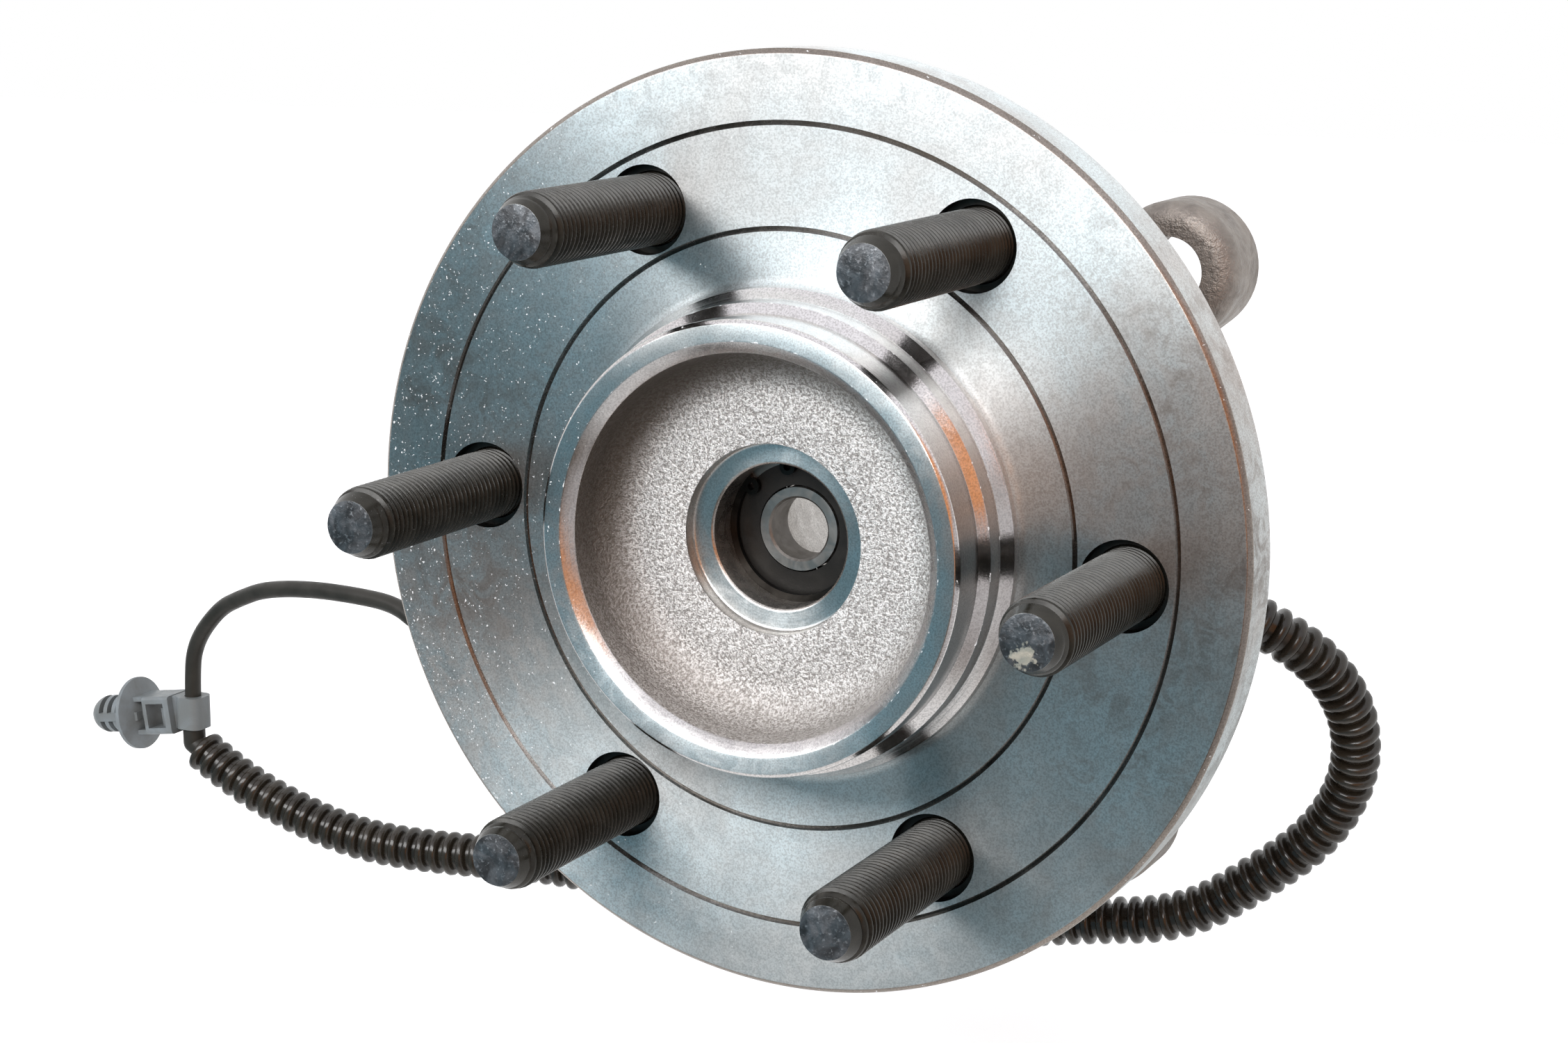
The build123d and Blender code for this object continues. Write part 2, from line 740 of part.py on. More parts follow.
# ---- Speed sensor: moulded body, oil seal, steel sleeve and bolt ----
sensor_tip_r = target_r + sensor_air_gap
plate_top_r = pad_top_r + sensor_plate_thick
sensor_head_top_r = pad_top_r + sensor_head_rise
oil_seal_station = pad_top_r - oil_seal_drop
sleeve_r = bolt_r + slip_gap + sleeve_wall
with BuildPart() as sensor_body:
    with BuildSketch(sensor_plane.offset(pad_top_r)):
        with BuildSketch(mode=Mode.PRIVATE) as plate_ends:
            Circle(sensor_head_r + sensor_plate_margin)
            with Locations((0, sensor_bolt_reach)):
                Circle(sleeve_r + sleeve_margin)
        make_hull(plate_ends.sketch.edges())
    extrude(amount=sensor_plate_thick)
    with BuildSketch(sensor_plane.offset(sensor_tip_r)):
        Circle(port_r - slip_gap)
    extrude(amount=pad_top_r - sensor_tip_r)
    with BuildSketch(sensor_plane.offset(pad_top_r)):
        Circle(sensor_head_r)
    extrude(amount=sensor_head_top_r - pad_top_r)
    head_top = sensor_body.edges().filter_by(GeomType.CIRCLE).filter_by(
        lambda e: abs(e.radius - sensor_head_r) < edge_match
        and (e.center() - sensor_plane.origin).dot(sensor_plane.z_dir) > plate_top_r + edge_match)
    fillet(head_top, sensor_head_fillet)
    with BuildSketch(sensor_plane.offset(pad_top_r)):
        with Locations((0, sensor_bolt_reach)):
            Circle(sleeve_r)
    extrude(amount=sensor_plate_thick, mode=Mode.SUBTRACT)
    with BuildSketch(sensor_plane.offset(oil_seal_station)):
        Circle(port_r)
        Circle(oil_groove_r, mode=Mode.SUBTRACT)
    extrude(amount=oil_groove_width, mode=Mode.SUBTRACT)
save(sensor_body.part, "sensor_body")

with BuildPart() as sensor_oil_seal:
    with Locations(sensor_plane.offset(oil_seal_station + oil_groove_width / 2)):
        Torus(port_r - slip_gap - oil_seal_section_r, oil_seal_section_r)
save(sensor_oil_seal.part, "sensor_oil_seal")

with BuildPart() as sensor_sleeve:
    with BuildSketch(sensor_plane.offset(pad_top_r)):
        with Locations((0, sensor_bolt_reach)):
            Circle(sleeve_r - press_gap)
            Circle(bolt_r + slip_gap, mode=Mode.SUBTRACT)
    extrude(amount=sensor_plate_thick)
save(sensor_sleeve.part, "sensor_sleeve")

with BuildPart() as sensor_bolt:
    with BuildSketch(sensor_plane.offset(plate_top_r)):
        with Locations((0, sensor_bolt_reach)):
            Circle(bolt_flange_r)
    extrude(amount=bolt_flange_thick)
    with BuildSketch(sensor_plane.offset(plate_top_r + bolt_flange_thick)):
        with Locations((0, sensor_bolt_reach)):
            RegularPolygon(bolt_head_af / 2, 6, major_radius=False)
    extrude(amount=bolt_head_thick)
    with BuildSketch(sensor_plane.offset(plate_top_r)):
        with Locations((0, sensor_bolt_reach)):
            Circle(bolt_r)
    extrude(amount=-bolt_length)
save(sensor_bolt.part, "sensor_bolt")


# ---- Sensor lead ----
def direction(start, end):
    """Unit vector from one point to the next."""
    return (end - start).normalized()


def corner_radii(points):
    """Radius at every inner point: its tangents take a share of the shorter run beside it."""
    radii = []
    for before, here, after in zip(points, points[1:], points[2:]):
        turn_angle = direction(before, here).get_angle(direction(here, after))
        shorter = min((here - before).length, (after - here).length)
        radii.append(arc_share * shorter / math.tan(math.radians(turn_angle / 2)))
    return radii


def lead(points, tube_r, name):
    """Sweep a round tube along straight runs joined by tangent arcs."""
    radii = corner_radii(points)
    with BuildPart() as tube:
        with BuildLine() as route:
            FilletPolyline(*points, radius=radii)
        with BuildSketch(Plane(origin=points[0], z_dir=direction(points[0], points[1]))):
            Circle(tube_r)
        sweep(path=route.wires()[0])
    length = route.wires()[0].length
    ratio = tube.part.volume / (math.pi * tube_r**2 * length)
    print(name, "radii", [round(r, 1) for r in radii])
    print(name, "length", round(length, 1), "volume ratio", round(ratio, 4))
    save(tube.part, name)


lead_start = sensor_plane.origin + sensor_plane.z_dir * sensor_head_top_r + Vector(*lead_offset)
conduit_points = [lead_start + Vector(*step) for step in conduit_steps]
cable_points = [lead_start + Vector(*step) for step in cable_steps]
lead_exit = direction(conduit_points[0], conduit_points[1])
boot_plane = Plane(origin=lead_start - lead_exit * boot_length, z_dir=lead_exit)
with BuildPart() as conduit_boot:
    with BuildSketch(boot_plane):
        Circle(boot_r)
    extrude(amount=boot_length)
    for groove in range(boot_groove_count):
        with BuildSketch(boot_plane.offset(boot_length - boot_groove_start - groove * boot_groove_pitch)):
            Circle(boot_r)
            Circle(boot_r - boot_groove_depth, mode=Mode.SUBTRACT)
        extrude(amount=boot_groove_width, mode=Mode.SUBTRACT)
    add(sensor_body.part, mode=Mode.SUBTRACT)
save(conduit_boot.part, "conduit_boot")

lead(conduit_points, conduit_r, "conduit")
lead(cable_points, cable_r, "sensor_cable")

conduit_exit = direction(conduit_points[-2], conduit_points[-1])
elbow_corner = conduit_points[-1] + conduit_exit * elbow_r
elbow_rise = cable_points[0] - elbow_corner
with BuildPart() as cable_elbow:
    with BuildSketch(Plane(origin=conduit_points[-1], z_dir=conduit_exit)):
        Circle(elbow_r)
    extrude(amount=elbow_r)
    with Locations(elbow_corner):
        Sphere(elbow_r)
    with BuildSketch(Plane(origin=cable_points[0], z_dir=-direction(cable_points[0], cable_points[1]))):
        Circle(elbow_r)
    extrude(amount=elbow_rise.length)
save(cable_elbow.part, "cable_elbow")

# ---- Push-in clip: tie head, gussets, dished disc and finned stem on one tilted axis ----
strap_middle = cable_points[0] + Vector(0, 0, strap_start + strap_width / 2)
clip_axis = Vector(-math.cos(math.radians(clip_tilt)), 0, -math.sin(math.radians(clip_tilt)))
clip_plane = Plane(origin=strap_middle, x_dir=(0, 1, 0), z_dir=clip_axis)
clip_section = Plane(origin=strap_middle, x_dir=(0, 1, 0), z_dir=(clip_axis.Z, 0, -clip_axis.X))
clip_head_end = clip_head_start + clip_head_length
clip_disc_rim = clip_disc_start + clip_disc_dish
with BuildPart() as clip_mount:
    with BuildSketch(clip_plane.offset(clip_head_start)):
        RectangleRounded(clip_head_depth, clip_head_height, clip_head_corner)
    extrude(amount=clip_head_length)
    with BuildSketch(clip_plane.offset(clip_head_start + clip_window_start)):
        Rectangle(clip_head_depth, clip_window_height)
    extrude(amount=clip_window_length, mode=Mode.SUBTRACT)
    with BuildSketch(clip_plane.offset(clip_head_start + clip_window_start + clip_pawl_thick)):
        with Locations((0, (clip_window_height - clip_pawl_height) / 2)):
            Rectangle(clip_head_depth / 2, clip_pawl_height)
    extrude(amount=clip_pawl_thick)
    with BuildSketch(clip_plane.offset(clip_head_end)):
        Circle(clip_stem_r)
        for side in (-1, 1):
            with Locations((0, side * (clip_head_height - clip_gusset_thick) / 2)):
                Rectangle(clip_head_depth - 2 * clip_head_corner, clip_gusset_thick)
    extrude(amount=clip_disc_rim - clip_head_end)
    with BuildSketch(clip_section) as disc_outline:
        with BuildLine():
            Polyline(
                (0, clip_disc_start), (clip_stem_r, clip_disc_start), (clip_disc_r, clip_disc_rim),
                (clip_disc_r, clip_disc_rim + clip_disc_thick),
                (clip_stem_r, clip_disc_start + clip_disc_thick), (0, clip_disc_start + clip_disc_thick),
                close=True)
        make_face()
    revolve(axis=Axis(strap_middle, clip_axis))
    with BuildSketch(clip_plane.offset(clip_disc_start)):
        Rectangle(2 * clip_fin_r, clip_web_thick)
    extrude(amount=clip_nose_start - clip_disc_start)
    for fin in range(clip_fin_count):
        with BuildSketch(clip_plane.offset(clip_nose_start - (fin + 1) * clip_fin_pitch)):
            Circle(clip_fin_r)
        extrude(amount=clip_fin_thick)
    with BuildSketch(clip_section) as nose_outline:
        with BuildLine():
            Polyline((0, clip_tip_station), (0, clip_nose_start), (clip_fin_r, clip_nose_start))
            ThreePointArc((clip_fin_r, clip_nose_start), (clip_nose_middle_r, clip_nose_middle),
                          (0, clip_tip_station))
        make_face()
    revolve(axis=Axis(strap_middle, clip_axis))
save(clip_mount.part, "clip_mount")

with BuildPart() as clip_strap:
    with BuildSketch(Plane(origin=strap_middle - Vector(0, 0, strap_width / 2), z_dir=(0, 0, 1))):
        RectangleRounded(strap_size, strap_size, strap_corner)
        with Locations((-(clip_head_start + strap_bite) / 2, 0)):
            Rectangle(clip_head_start + strap_bite, strap_size - 2 * clip_head_corner)
        Circle(strap_inner_r, mode=Mode.SUBTRACT)
    extrude(amount=strap_width)
    add(clip_mount.part, mode=Mode.SUBTRACT)
save(clip_strap.part, "clip_strap")

# ---- Connector: cable gland, open-mouthed housing, latch and blade pins ----
connector_plane = Plane(origin=cable_points[-1], x_dir=(0, 1, 0),
                        z_dir=direction(cable_points[-2], cable_points[-1]))
mouth_floor = gland_length + connector_length - connector_mouth
with BuildPart() as connector_gland:
    with BuildSketch(connector_plane):
        Circle(gland_r)
    extrude(amount=gland_length)
    with BuildSketch(connector_plane.offset((gland_length - gland_groove_width) / 2)):
        Circle(gland_r)
        Circle(gland_groove_r, mode=Mode.SUBTRACT)
    extrude(amount=gland_groove_width, mode=Mode.SUBTRACT)
save(connector_gland.part, "connector_gland")

with BuildPart() as connector_body:
    with BuildSketch(connector_plane.offset(gland_length)):
        RectangleRounded(connector_depth, connector_height, connector_corner)
    extrude(amount=connector_length)
    with BuildSketch(connector_plane.offset(mouth_floor)):
        Rectangle(connector_depth - 2 * connector_wall, connector_height - 2 * connector_wall)
    extrude(amount=connector_mouth, mode=Mode.SUBTRACT)
save(connector_body.part, "connector_body")

with BuildPart() as connector_latch:
    with BuildSketch(connector_plane.offset(gland_length + latch_start)):
        with Locations((0, (connector_height + latch_gap + latch_thick) / 2)):
            Rectangle(latch_width, latch_gap + latch_thick)
    extrude(amount=latch_root)
    with BuildSketch(connector_plane.offset(gland_length + latch_start)):
        with Locations((0, (connector_height + latch_thick) / 2 + latch_gap)):
            Rectangle(latch_width, latch_thick)
    extrude(amount=latch_length)
save(connector_latch.part, "connector_latch")

with BuildPart() as connector_pins:
    with BuildSketch(connector_plane.offset(mouth_floor)):
        with Locations((0, -pin_spacing / 2), (0, pin_spacing / 2)):
            Rectangle(pin_size, pin_size)
    extrude(amount=pin_length)
save(connector_pins.part, "connector_pins")
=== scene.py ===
"""Dressed view of a front wheel hub bearing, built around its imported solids.

The wheel turns about Y and faces -Y. +Z is up. Sizes are in millimetres and become metres
through MM. Heights along the axle are measured outboard from the knuckle face, so y = -height.
"""
import math
import random

import bmesh
import bpy
from mathutils import Matrix, Vector


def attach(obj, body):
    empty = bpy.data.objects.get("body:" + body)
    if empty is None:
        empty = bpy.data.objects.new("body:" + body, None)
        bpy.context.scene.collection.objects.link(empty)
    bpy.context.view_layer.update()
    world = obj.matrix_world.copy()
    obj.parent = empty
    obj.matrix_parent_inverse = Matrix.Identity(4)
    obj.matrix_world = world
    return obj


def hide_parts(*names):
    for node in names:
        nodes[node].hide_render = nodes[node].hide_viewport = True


MM = 0.001
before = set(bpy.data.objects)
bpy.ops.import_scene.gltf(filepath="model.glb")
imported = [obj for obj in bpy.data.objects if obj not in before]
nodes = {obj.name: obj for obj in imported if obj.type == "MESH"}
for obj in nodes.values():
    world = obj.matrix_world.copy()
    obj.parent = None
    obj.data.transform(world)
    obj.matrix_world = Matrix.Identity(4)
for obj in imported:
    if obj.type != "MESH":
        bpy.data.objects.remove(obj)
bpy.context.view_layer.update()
scene = bpy.context.scene

# ---- Sizes shared by several pieces ----
WHEEL_FACE = 52.0
FLANGE_R = 91.4
FLANGE_BACK = 40.0
NOSE_FRONT = 71.4
STUD_CIRCLE_R = 67.5
STUD_COUNT = 6
STUD_TURN = -3.3
STUD_R = 7.0
STUD_TIP = 47.8


# ==== Mesh helpers ====

def on_axle(radius, height):
    """Point in the XY half-plane at this radius and height above the knuckle face."""
    return Vector((radius * MM, -height * MM, 0.0))


def lathe(bm, outline, steps, closed=True):
    """Spin a (radius, height) outline in mm once round the axle."""
    verts = [bm.verts.new(on_axle(r, h)) for r, h in outline]
    edges = [bm.edges.new(pair) for pair in zip(verts, verts[1:])]
    if closed:
        edges.append(bm.edges.new((verts[-1], verts[0])))
    bmesh.ops.spin(bm, geom=verts + edges, cent=(0, 0, 0), axis=(0, 1, 0),
                   angle=math.tau, steps=steps, use_merge=True, use_duplicate=False)
    bmesh.ops.remove_doubles(bm, verts=bm.verts[:], dist=1e-7)


def face_station(face):
    """Radius and height of a face's centre, in mm."""
    centre = face.calc_center_median()
    return math.hypot(centre.x, centre.z) / MM, -centre.y / MM


def round_rings(bm, rings, offset, segments=2):
    """Bevel the sharp rings at the given (radius, height) corners."""
    picked = []
    for edge in bm.edges:
        a, b = edge.verts
        ra, rb = (math.hypot(v.co.x, v.co.z) / MM for v in (a, b))
        if abs(a.co.y - b.co.y) > 1e-6 or abs(ra - rb) > 0.01:
            continue
        if any(abs(ra - r) < 0.02 and abs(-a.co.y / MM - h) < 0.02 for r, h in rings):
            picked.append(edge)
    bmesh.ops.bevel(bm, geom=picked, offset=offset * MM, offset_type="OFFSET", segments=segments,
                    profile=0.5, affect="EDGES", material=-1, clamp_overlap=True)


def make_piece(bm, name, materials, body, replaces=(), smooth_angle=35.0):
    """Turn a finished bmesh into a piece that rides on a body."""
    bmesh.ops.recalc_face_normals(bm, faces=bm.faces[:])
    mesh = bpy.data.meshes.new(name)
    bm.to_mesh(mesh)
    bm.free()
    for material in materials:
        mesh.materials.append(material)
    mesh.shade_smooth()
    mesh.set_sharp_from_angle(angle=math.radians(smooth_angle))
    piece = bpy.data.objects.new(name, mesh)
    scene.collection.objects.link(piece)
    if replaces:
        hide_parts(*replaces)
    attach(piece, body)
    return piece


def dress(node, material):
    """Give a CAD node its finish."""
    obj = nodes[node]
    obj.data.materials.clear()
    obj.data.materials.append(material)
    return obj


def softened(node, name, material, body, slot, width, smooth_angle=35.0):
    """A copy of a CAD node with its sharp edges rounded, which stands for the node."""
    bm = bmesh.new()
    bm.from_mesh(nodes[node].data)
    bmesh.ops.remove_doubles(bm, verts=bm.verts[:], dist=2e-6)
    bmesh.ops.dissolve_limit(bm, angle_limit=math.radians(1.0), verts=bm.verts[:], edges=bm.edges[:])
    sharp = [e for e in bm.edges if len(e.link_faces) == 2 and e.calc_face_angle(0) > math.radians(28)]
    bmesh.ops.bevel(bm, geom=sharp, offset=width * MM, offset_type="OFFSET", segments=2,
                    profile=0.5, affect="EDGES", material=-1, clamp_overlap=True)
    bmesh.ops.triangulate(bm, faces=[f for f in bm.faces if len(f.verts) > 4])
    return make_piece(bm, name, [material], body, (node,), smooth_angle)


# ==== Node groups ====

def new_group(name, inputs, outputs):
    """A shader group with float inputs (name, default) and typed outputs (name, type)."""
    group = bpy.data.node_groups.new(name, "ShaderNodeTree")
    for label, default in inputs:
        socket = group.interface.new_socket(label, in_out="INPUT", socket_type="NodeSocketFloat")
        socket.default_value = default
    for label, kind in outputs:
        group.interface.new_socket(label, in_out="OUTPUT", socket_type=kind)
    return group, group.nodes.new("NodeGroupInput"), group.nodes.new("NodeGroupOutput")


def maths(tree, operation, a, b=None, c=None, clamp=False):
    """A Math node on numbers or sockets; returns its output."""
    node = tree.nodes.new("ShaderNodeMath")
    node.operation = operation
    node.use_clamp = clamp
    for index, value in enumerate((a, b, c)):
        if value is None:
            continue
        if isinstance(value, (int, float)):
            node.inputs[index].default_value = value
        else:
            tree.links.new(value, node.inputs[index])
    return node.outputs[0]


def step_up(tree, value, low, high):
    """0 below low, 1 above high, smooth between."""
    node = tree.nodes.new("ShaderNodeMapRange")
    node.interpolation_type = "SMOOTHSTEP"
    node.inputs["From Min"].default_value = low
    node.inputs["From Max"].default_value = high
    tree.links.new(value, node.inputs["Value"])
    return node.outputs["Result"]


def noise(tree, vector, scale, detail=3.0, roughness=0.55, distortion=0.0):
    node = tree.nodes.new("ShaderNodeTexNoise")
    node.inputs["Scale"].default_value = scale
    node.inputs["Detail"].default_value = detail
    node.inputs["Roughness"].default_value = roughness
    node.inputs["Distortion"].default_value = distortion
    tree.links.new(vector, node.inputs["Vector"])
    return node.outputs["Fac"]


def object_place(tree):
    """Object coordinates, and the radius from the axle and Y, all in metres."""
    coord = tree.nodes.new("ShaderNodeTexCoord").outputs["Object"]
    split = tree.nodes.new("ShaderNodeSeparateXYZ")
    tree.links.new(coord, split.inputs[0])
    square = maths(tree, "MULTIPLY", split.outputs["X"], split.outputs["X"])
    square = maths(tree, "MULTIPLY_ADD", split.outputs["Z"], split.outputs["Z"], square)
    radius = maths(tree, "SQRT", square)
    return coord, radius, split.outputs["Y"], split


def mix_colour(tree, factor, a, b):
    """Mix two colours, each a tuple or a socket."""
    node = tree.nodes.new("ShaderNodeMix")
    node.data_type = "RGBA"
    for value, socket in ((factor, node.inputs[0]), (a, node.inputs[6]), (b, node.inputs[7])):
        if isinstance(value, (int, float)):
            socket.default_value = value
        elif isinstance(value, tuple):
            socket.default_value = (*value, 1.0)
        else:
            tree.links.new(value, socket)
    return node.outputs[2]


def turning_group():
    """Rings left by the lathe tool: fine lines that run round the axle."""
    group, given, made = new_group(
        "tool_rings", [("Ring Scale", 2500.0), ("Along Axle", 0.0)],
        [("Height", "NodeSocketFloat"), ("Coarse", "NodeSocketFloat")])
    coord, radius, along, _ = object_place(group)
    across = maths(group, "SUBTRACT", 1.0, given.outputs["Along Axle"])
    place = maths(group, "MULTIPLY", radius, across)
    place = maths(group, "MULTIPLY_ADD", along, given.outputs["Along Axle"], place)
    wobble = noise(group, coord, 40.0, 1.0)
    place = maths(group, "MULTIPLY_ADD", wobble, 0.0004, place)
    for label, factor, detail in (("Height", 1.0, 2.0), ("Coarse", 0.12, 2.0)):
        rings = group.nodes.new("ShaderNodeTexNoise")
        rings.noise_dimensions = "1D"
        rings.inputs["Scale"].default_value = 1.0
        rings.inputs["Detail"].default_value = detail
        scaled = maths(group, "MULTIPLY", place, given.outputs["Ring Scale"])
        scaled = maths(group, "MULTIPLY", scaled, factor)
        group.links.new(scaled, rings.inputs["W"])
        group.links.new(rings.outputs["Fac"], made.inputs[label])
    return group


def mottle_group():
    """Cloudy patches and fine specks of an oiled, handled steel skin."""
    group, given, made = new_group(
        "steel_mottle", [("Patch Scale", 45.0), ("Speck Scale", 1800.0)],
        [("Patches", "NodeSocketFloat"), ("Specks", "NodeSocketFloat"), ("Smears", "NodeSocketFloat"),
         ("Fine", "NodeSocketFloat")])
    coord = group.nodes.new("ShaderNodeTexCoord").outputs["Object"]
    patch = group.nodes.new("ShaderNodeTexNoise")
    patch.inputs["Detail"].default_value = 5.0
    patch.inputs["Roughness"].default_value = 0.6
    patch.inputs["Distortion"].default_value = 0.6
    group.links.new(coord, patch.inputs["Vector"])
    group.links.new(given.outputs["Patch Scale"], patch.inputs["Scale"])
    group.links.new(step_up(group, patch.outputs["Fac"], 0.32, 0.70), made.inputs["Patches"])
    speck = group.nodes.new("ShaderNodeTexNoise")
    speck.inputs["Detail"].default_value = 2.0
    group.links.new(coord, speck.inputs["Vector"])
    group.links.new(given.outputs["Speck Scale"], speck.inputs["Scale"])
    split = group.nodes.new("ShaderNodeSeparateXYZ")
    group.links.new(coord, split.inputs[0])
    side = maths(group, "MULTIPLY_ADD", split.outputs["X"], -0.9, speck.outputs["Fac"])
    group.links.new(step_up(group, side, 0.745, 0.78), made.inputs["Specks"])
    smear = noise(group, coord, 170.0, 6.0, 0.65, 1.4)
    group.links.new(step_up(group, smear, 0.4, 0.64), made.inputs["Smears"])
    group.links.new(noise(group, coord, 2800.0, 2.0, 0.6), made.inputs["Fine"])
    return group


def nick_group():
    """Small bright dents near a turned edge at a given radius and height."""
    group, given, made = new_group(
        "edge_nicks", [("Edge Radius", 0.0909), ("Edge Y", -0.0515), ("Reach", 0.0012), ("Amount", 0.5)],
        [("Nicks", "NodeSocketFloat")])
    coord, radius, along, _ = object_place(group)
    dr = maths(group, "SUBTRACT", radius, given.outputs["Edge Radius"])
    dy = maths(group, "SUBTRACT", along, given.outputs["Edge Y"])
    far = maths(group, "SQRT", maths(group, "MULTIPLY_ADD", dr, dr, maths(group, "MULTIPLY", dy, dy)))
    near = maths(group, "SUBTRACT", 1.0, maths(group, "DIVIDE", far, given.outputs["Reach"]), clamp=True)
    chip = noise(group, coord, 620.0, 4.0, 0.7, 0.4)
    score = maths(group, "MULTIPLY_ADD", near, 0.42, chip)
    score = maths(group, "MULTIPLY_ADD", given.outputs["Amount"], 0.12, score)
    hit = step_up(group, score, 1.02, 1.08)
    group.links.new(maths(group, "MULTIPLY", hit, step_up(group, near, 0.0, 0.15)), made.inputs["Nicks"])
    return group


def grain_group():
    """Grain of a forged, blasted or moulded skin."""
    group, given, made = new_group(
        "skin_grain", [("Grain Scale", 1200.0)],
        [("Height", "NodeSocketFloat"), ("Pits", "NodeSocketFloat")])
    coord = group.nodes.new("ShaderNodeTexCoord").outputs["Object"]
    fine = group.nodes.new("ShaderNodeTexNoise")
    fine.inputs["Detail"].default_value = 4.0
    fine.inputs["Roughness"].default_value = 0.6
    group.links.new(coord, fine.inputs["Vector"])
    group.links.new(given.outputs["Grain Scale"], fine.inputs["Scale"])
    group.links.new(fine.outputs["Fac"], made.inputs["Height"])
    group.links.new(step_up(group, fine.outputs["Fac"], 0.55, 0.7), made.inputs["Pits"])
    return group


TOOL_RINGS = turning_group()
STEEL_MOTTLE = mottle_group()
EDGE_NICKS = nick_group()
SKIN_GRAIN = grain_group()


# ==== Materials ====

def start_material(name, colour, metallic, roughness):
    material = bpy.data.materials.new(name)
    material.use_nodes = True
    tree = material.node_tree
    shader = tree.nodes["Principled BSDF"]
    shader.inputs["Base Color"].default_value = (*colour, 1.0)
    shader.inputs["Metallic"].default_value = metallic
    shader.inputs["Roughness"].default_value = roughness
    return material, tree, shader


def use_group(tree, group, **values):
    node = tree.nodes.new("ShaderNodeGroup")
    node.node_tree = group
    for label, value in values.items():
        node.inputs[label.replace("_", " ")].default_value = value
    return node.outputs


def add_bump(tree, shader, height, strength, distance):
    bump = tree.nodes.new("ShaderNodeBump")
    bump.inputs["Strength"].default_value = strength
    bump.inputs["Distance"].default_value = distance
    tree.links.new(height, bump.inputs["Height"])
    tree.links.new(bump.outputs["Normal"], shader.inputs["Normal"])
    return bump


def turned_steel(name, along_axle=0.0, tint=(0.76, 0.84, 0.86), dark=(0.62, 0.61, 0.595),
                 roughness=(0.40, 0.48), edges=(), anisotropy=0.90, specks=0.8, stains=0.0):
    """Machined steel with tool rings, soft patches, bright specks and nicked edges."""
    material, tree, shader = start_material(name, tint, 1.0, roughness[0])
    rings = use_group(tree, TOOL_RINGS, Ring_Scale=2600.0, Along_Axle=along_axle)
    mottle = use_group(tree, STEEL_MOTTLE, Patch_Scale=30.0)
    colour = mix_colour(tree, mottle["Patches"], dark, tint)
    grain = maths(tree, "MULTIPLY", step_up(tree, mottle["Fine"], 0.38, 0.66), 0.50)
    colour = mix_colour(tree, grain, colour, tuple(0.45 * c for c in dark))
    colour = mix_colour(tree, maths(tree, "MULTIPLY", rings["Coarse"], 0.3), colour, dark)
    if stains:
        smoky = use_group(tree, STEEL_MOTTLE, Patch_Scale=60.0)
        across = object_place(tree)[3].outputs["X"]
        sides = step_up(tree, maths(tree, "ABSOLUTE", across), 0.035, 0.085)
        film = maths(tree, "MULTIPLY", maths(tree, "MULTIPLY", smoky["Patches"], smoky["Smears"]), sides)
        colour = mix_colour(tree, maths(tree, "MULTIPLY", film, stains), colour, (0.26, 0.235, 0.215))
    marks = maths(tree, "MULTIPLY", mottle["Specks"], specks)
    rough = maths(tree, "MULTIPLY_ADD", mottle["Smears"], roughness[1] - roughness[0], roughness[0])
    rough = maths(tree, "MULTIPLY_ADD", rings["Coarse"], 0.06, rough)
    for radius, height, reach, amount in edges:
        nicks = use_group(tree, EDGE_NICKS, Edge_Radius=radius * MM, Edge_Y=-height * MM,
                          Reach=reach * MM, Amount=amount)["Nicks"]
        marks = maths(tree, "MAXIMUM", marks, nicks)
    tree.links.new(mix_colour(tree, marks, colour, (0.9, 0.92, 0.93)), shader.inputs["Base Color"])
    tree.links.new(maths(tree, "MULTIPLY_ADD", marks, -0.8, 1.0), shader.inputs["Metallic"])
    tree.links.new(rough, shader.inputs["Roughness"])
    height = maths(tree, "MULTIPLY_ADD", mottle["Fine"], 0.8, rings["Height"])
    add_bump(tree, shader, height, 0.45, 0.00003)
    if anisotropy:
        shader.inputs["Anisotropic"].default_value = anisotropy
        shader.inputs["Anisotropic Rotation"].default_value = 0.25
        tangent = tree.nodes.new("ShaderNodeTangent")
        tangent.direction_type = "RADIAL"
        tangent.axis = "Y"
        tree.links.new(tangent.outputs[0], shader.inputs["Tangent"])
    return material


def blasted_steel():
    """Shot-blasted forging inside the cup: pale lilac grey and finely grained, with painted shade that darkens
    the wall brown and near black on its left and top.
    """
    material, tree, shader = start_material("cup_blasted_steel", (0.55, 0.53, 0.52), 0.85, 0.42)
    grain = use_group(tree, SKIN_GRAIN, Grain_Scale=3000.0)
    coarse = use_group(tree, SKIN_GRAIN, Grain_Scale=1600.0)
    both = maths(tree, "MULTIPLY_ADD", coarse["Height"], 0.5, maths(tree, "MULTIPLY", grain["Height"], 0.5))
    colour = mix_colour(tree, step_up(tree, both, 0.41, 0.60), (0.33, 0.31, 0.295), (0.97, 0.955, 0.945))
    _, radius, _, place = object_place(tree)
    # Painted shade: the wall is mixed towards dark brown, and its left and top side further towards near black.
    wall = step_up(tree, radius, 0.0275, 0.0345)
    side = maths(tree, "MULTIPLY_ADD", place.outputs["Z"], -0.8, place.outputs["X"])
    painted_shade_side = maths(tree, "MULTIPLY", wall, step_up(tree, side, 0.012, -0.046))
    colour = mix_colour(tree, maths(tree, "MULTIPLY", wall, 0.45), colour, (0.26, 0.23, 0.20))
    colour = mix_colour(tree, maths(tree, "MULTIPLY", painted_shade_side, 0.85), colour, (0.06, 0.047, 0.034))
    tree.links.new(colour, shader.inputs["Base Color"])
    tree.links.new(maths(tree, "MULTIPLY_ADD", grain["Height"], 0.2, 0.32), shader.inputs["Roughness"])
    height = maths(tree, "MULTIPLY_ADD", coarse["Height"], 1.5, grain["Height"])
    add_bump(tree, shader, height, 0.9, 0.00025)
    return material


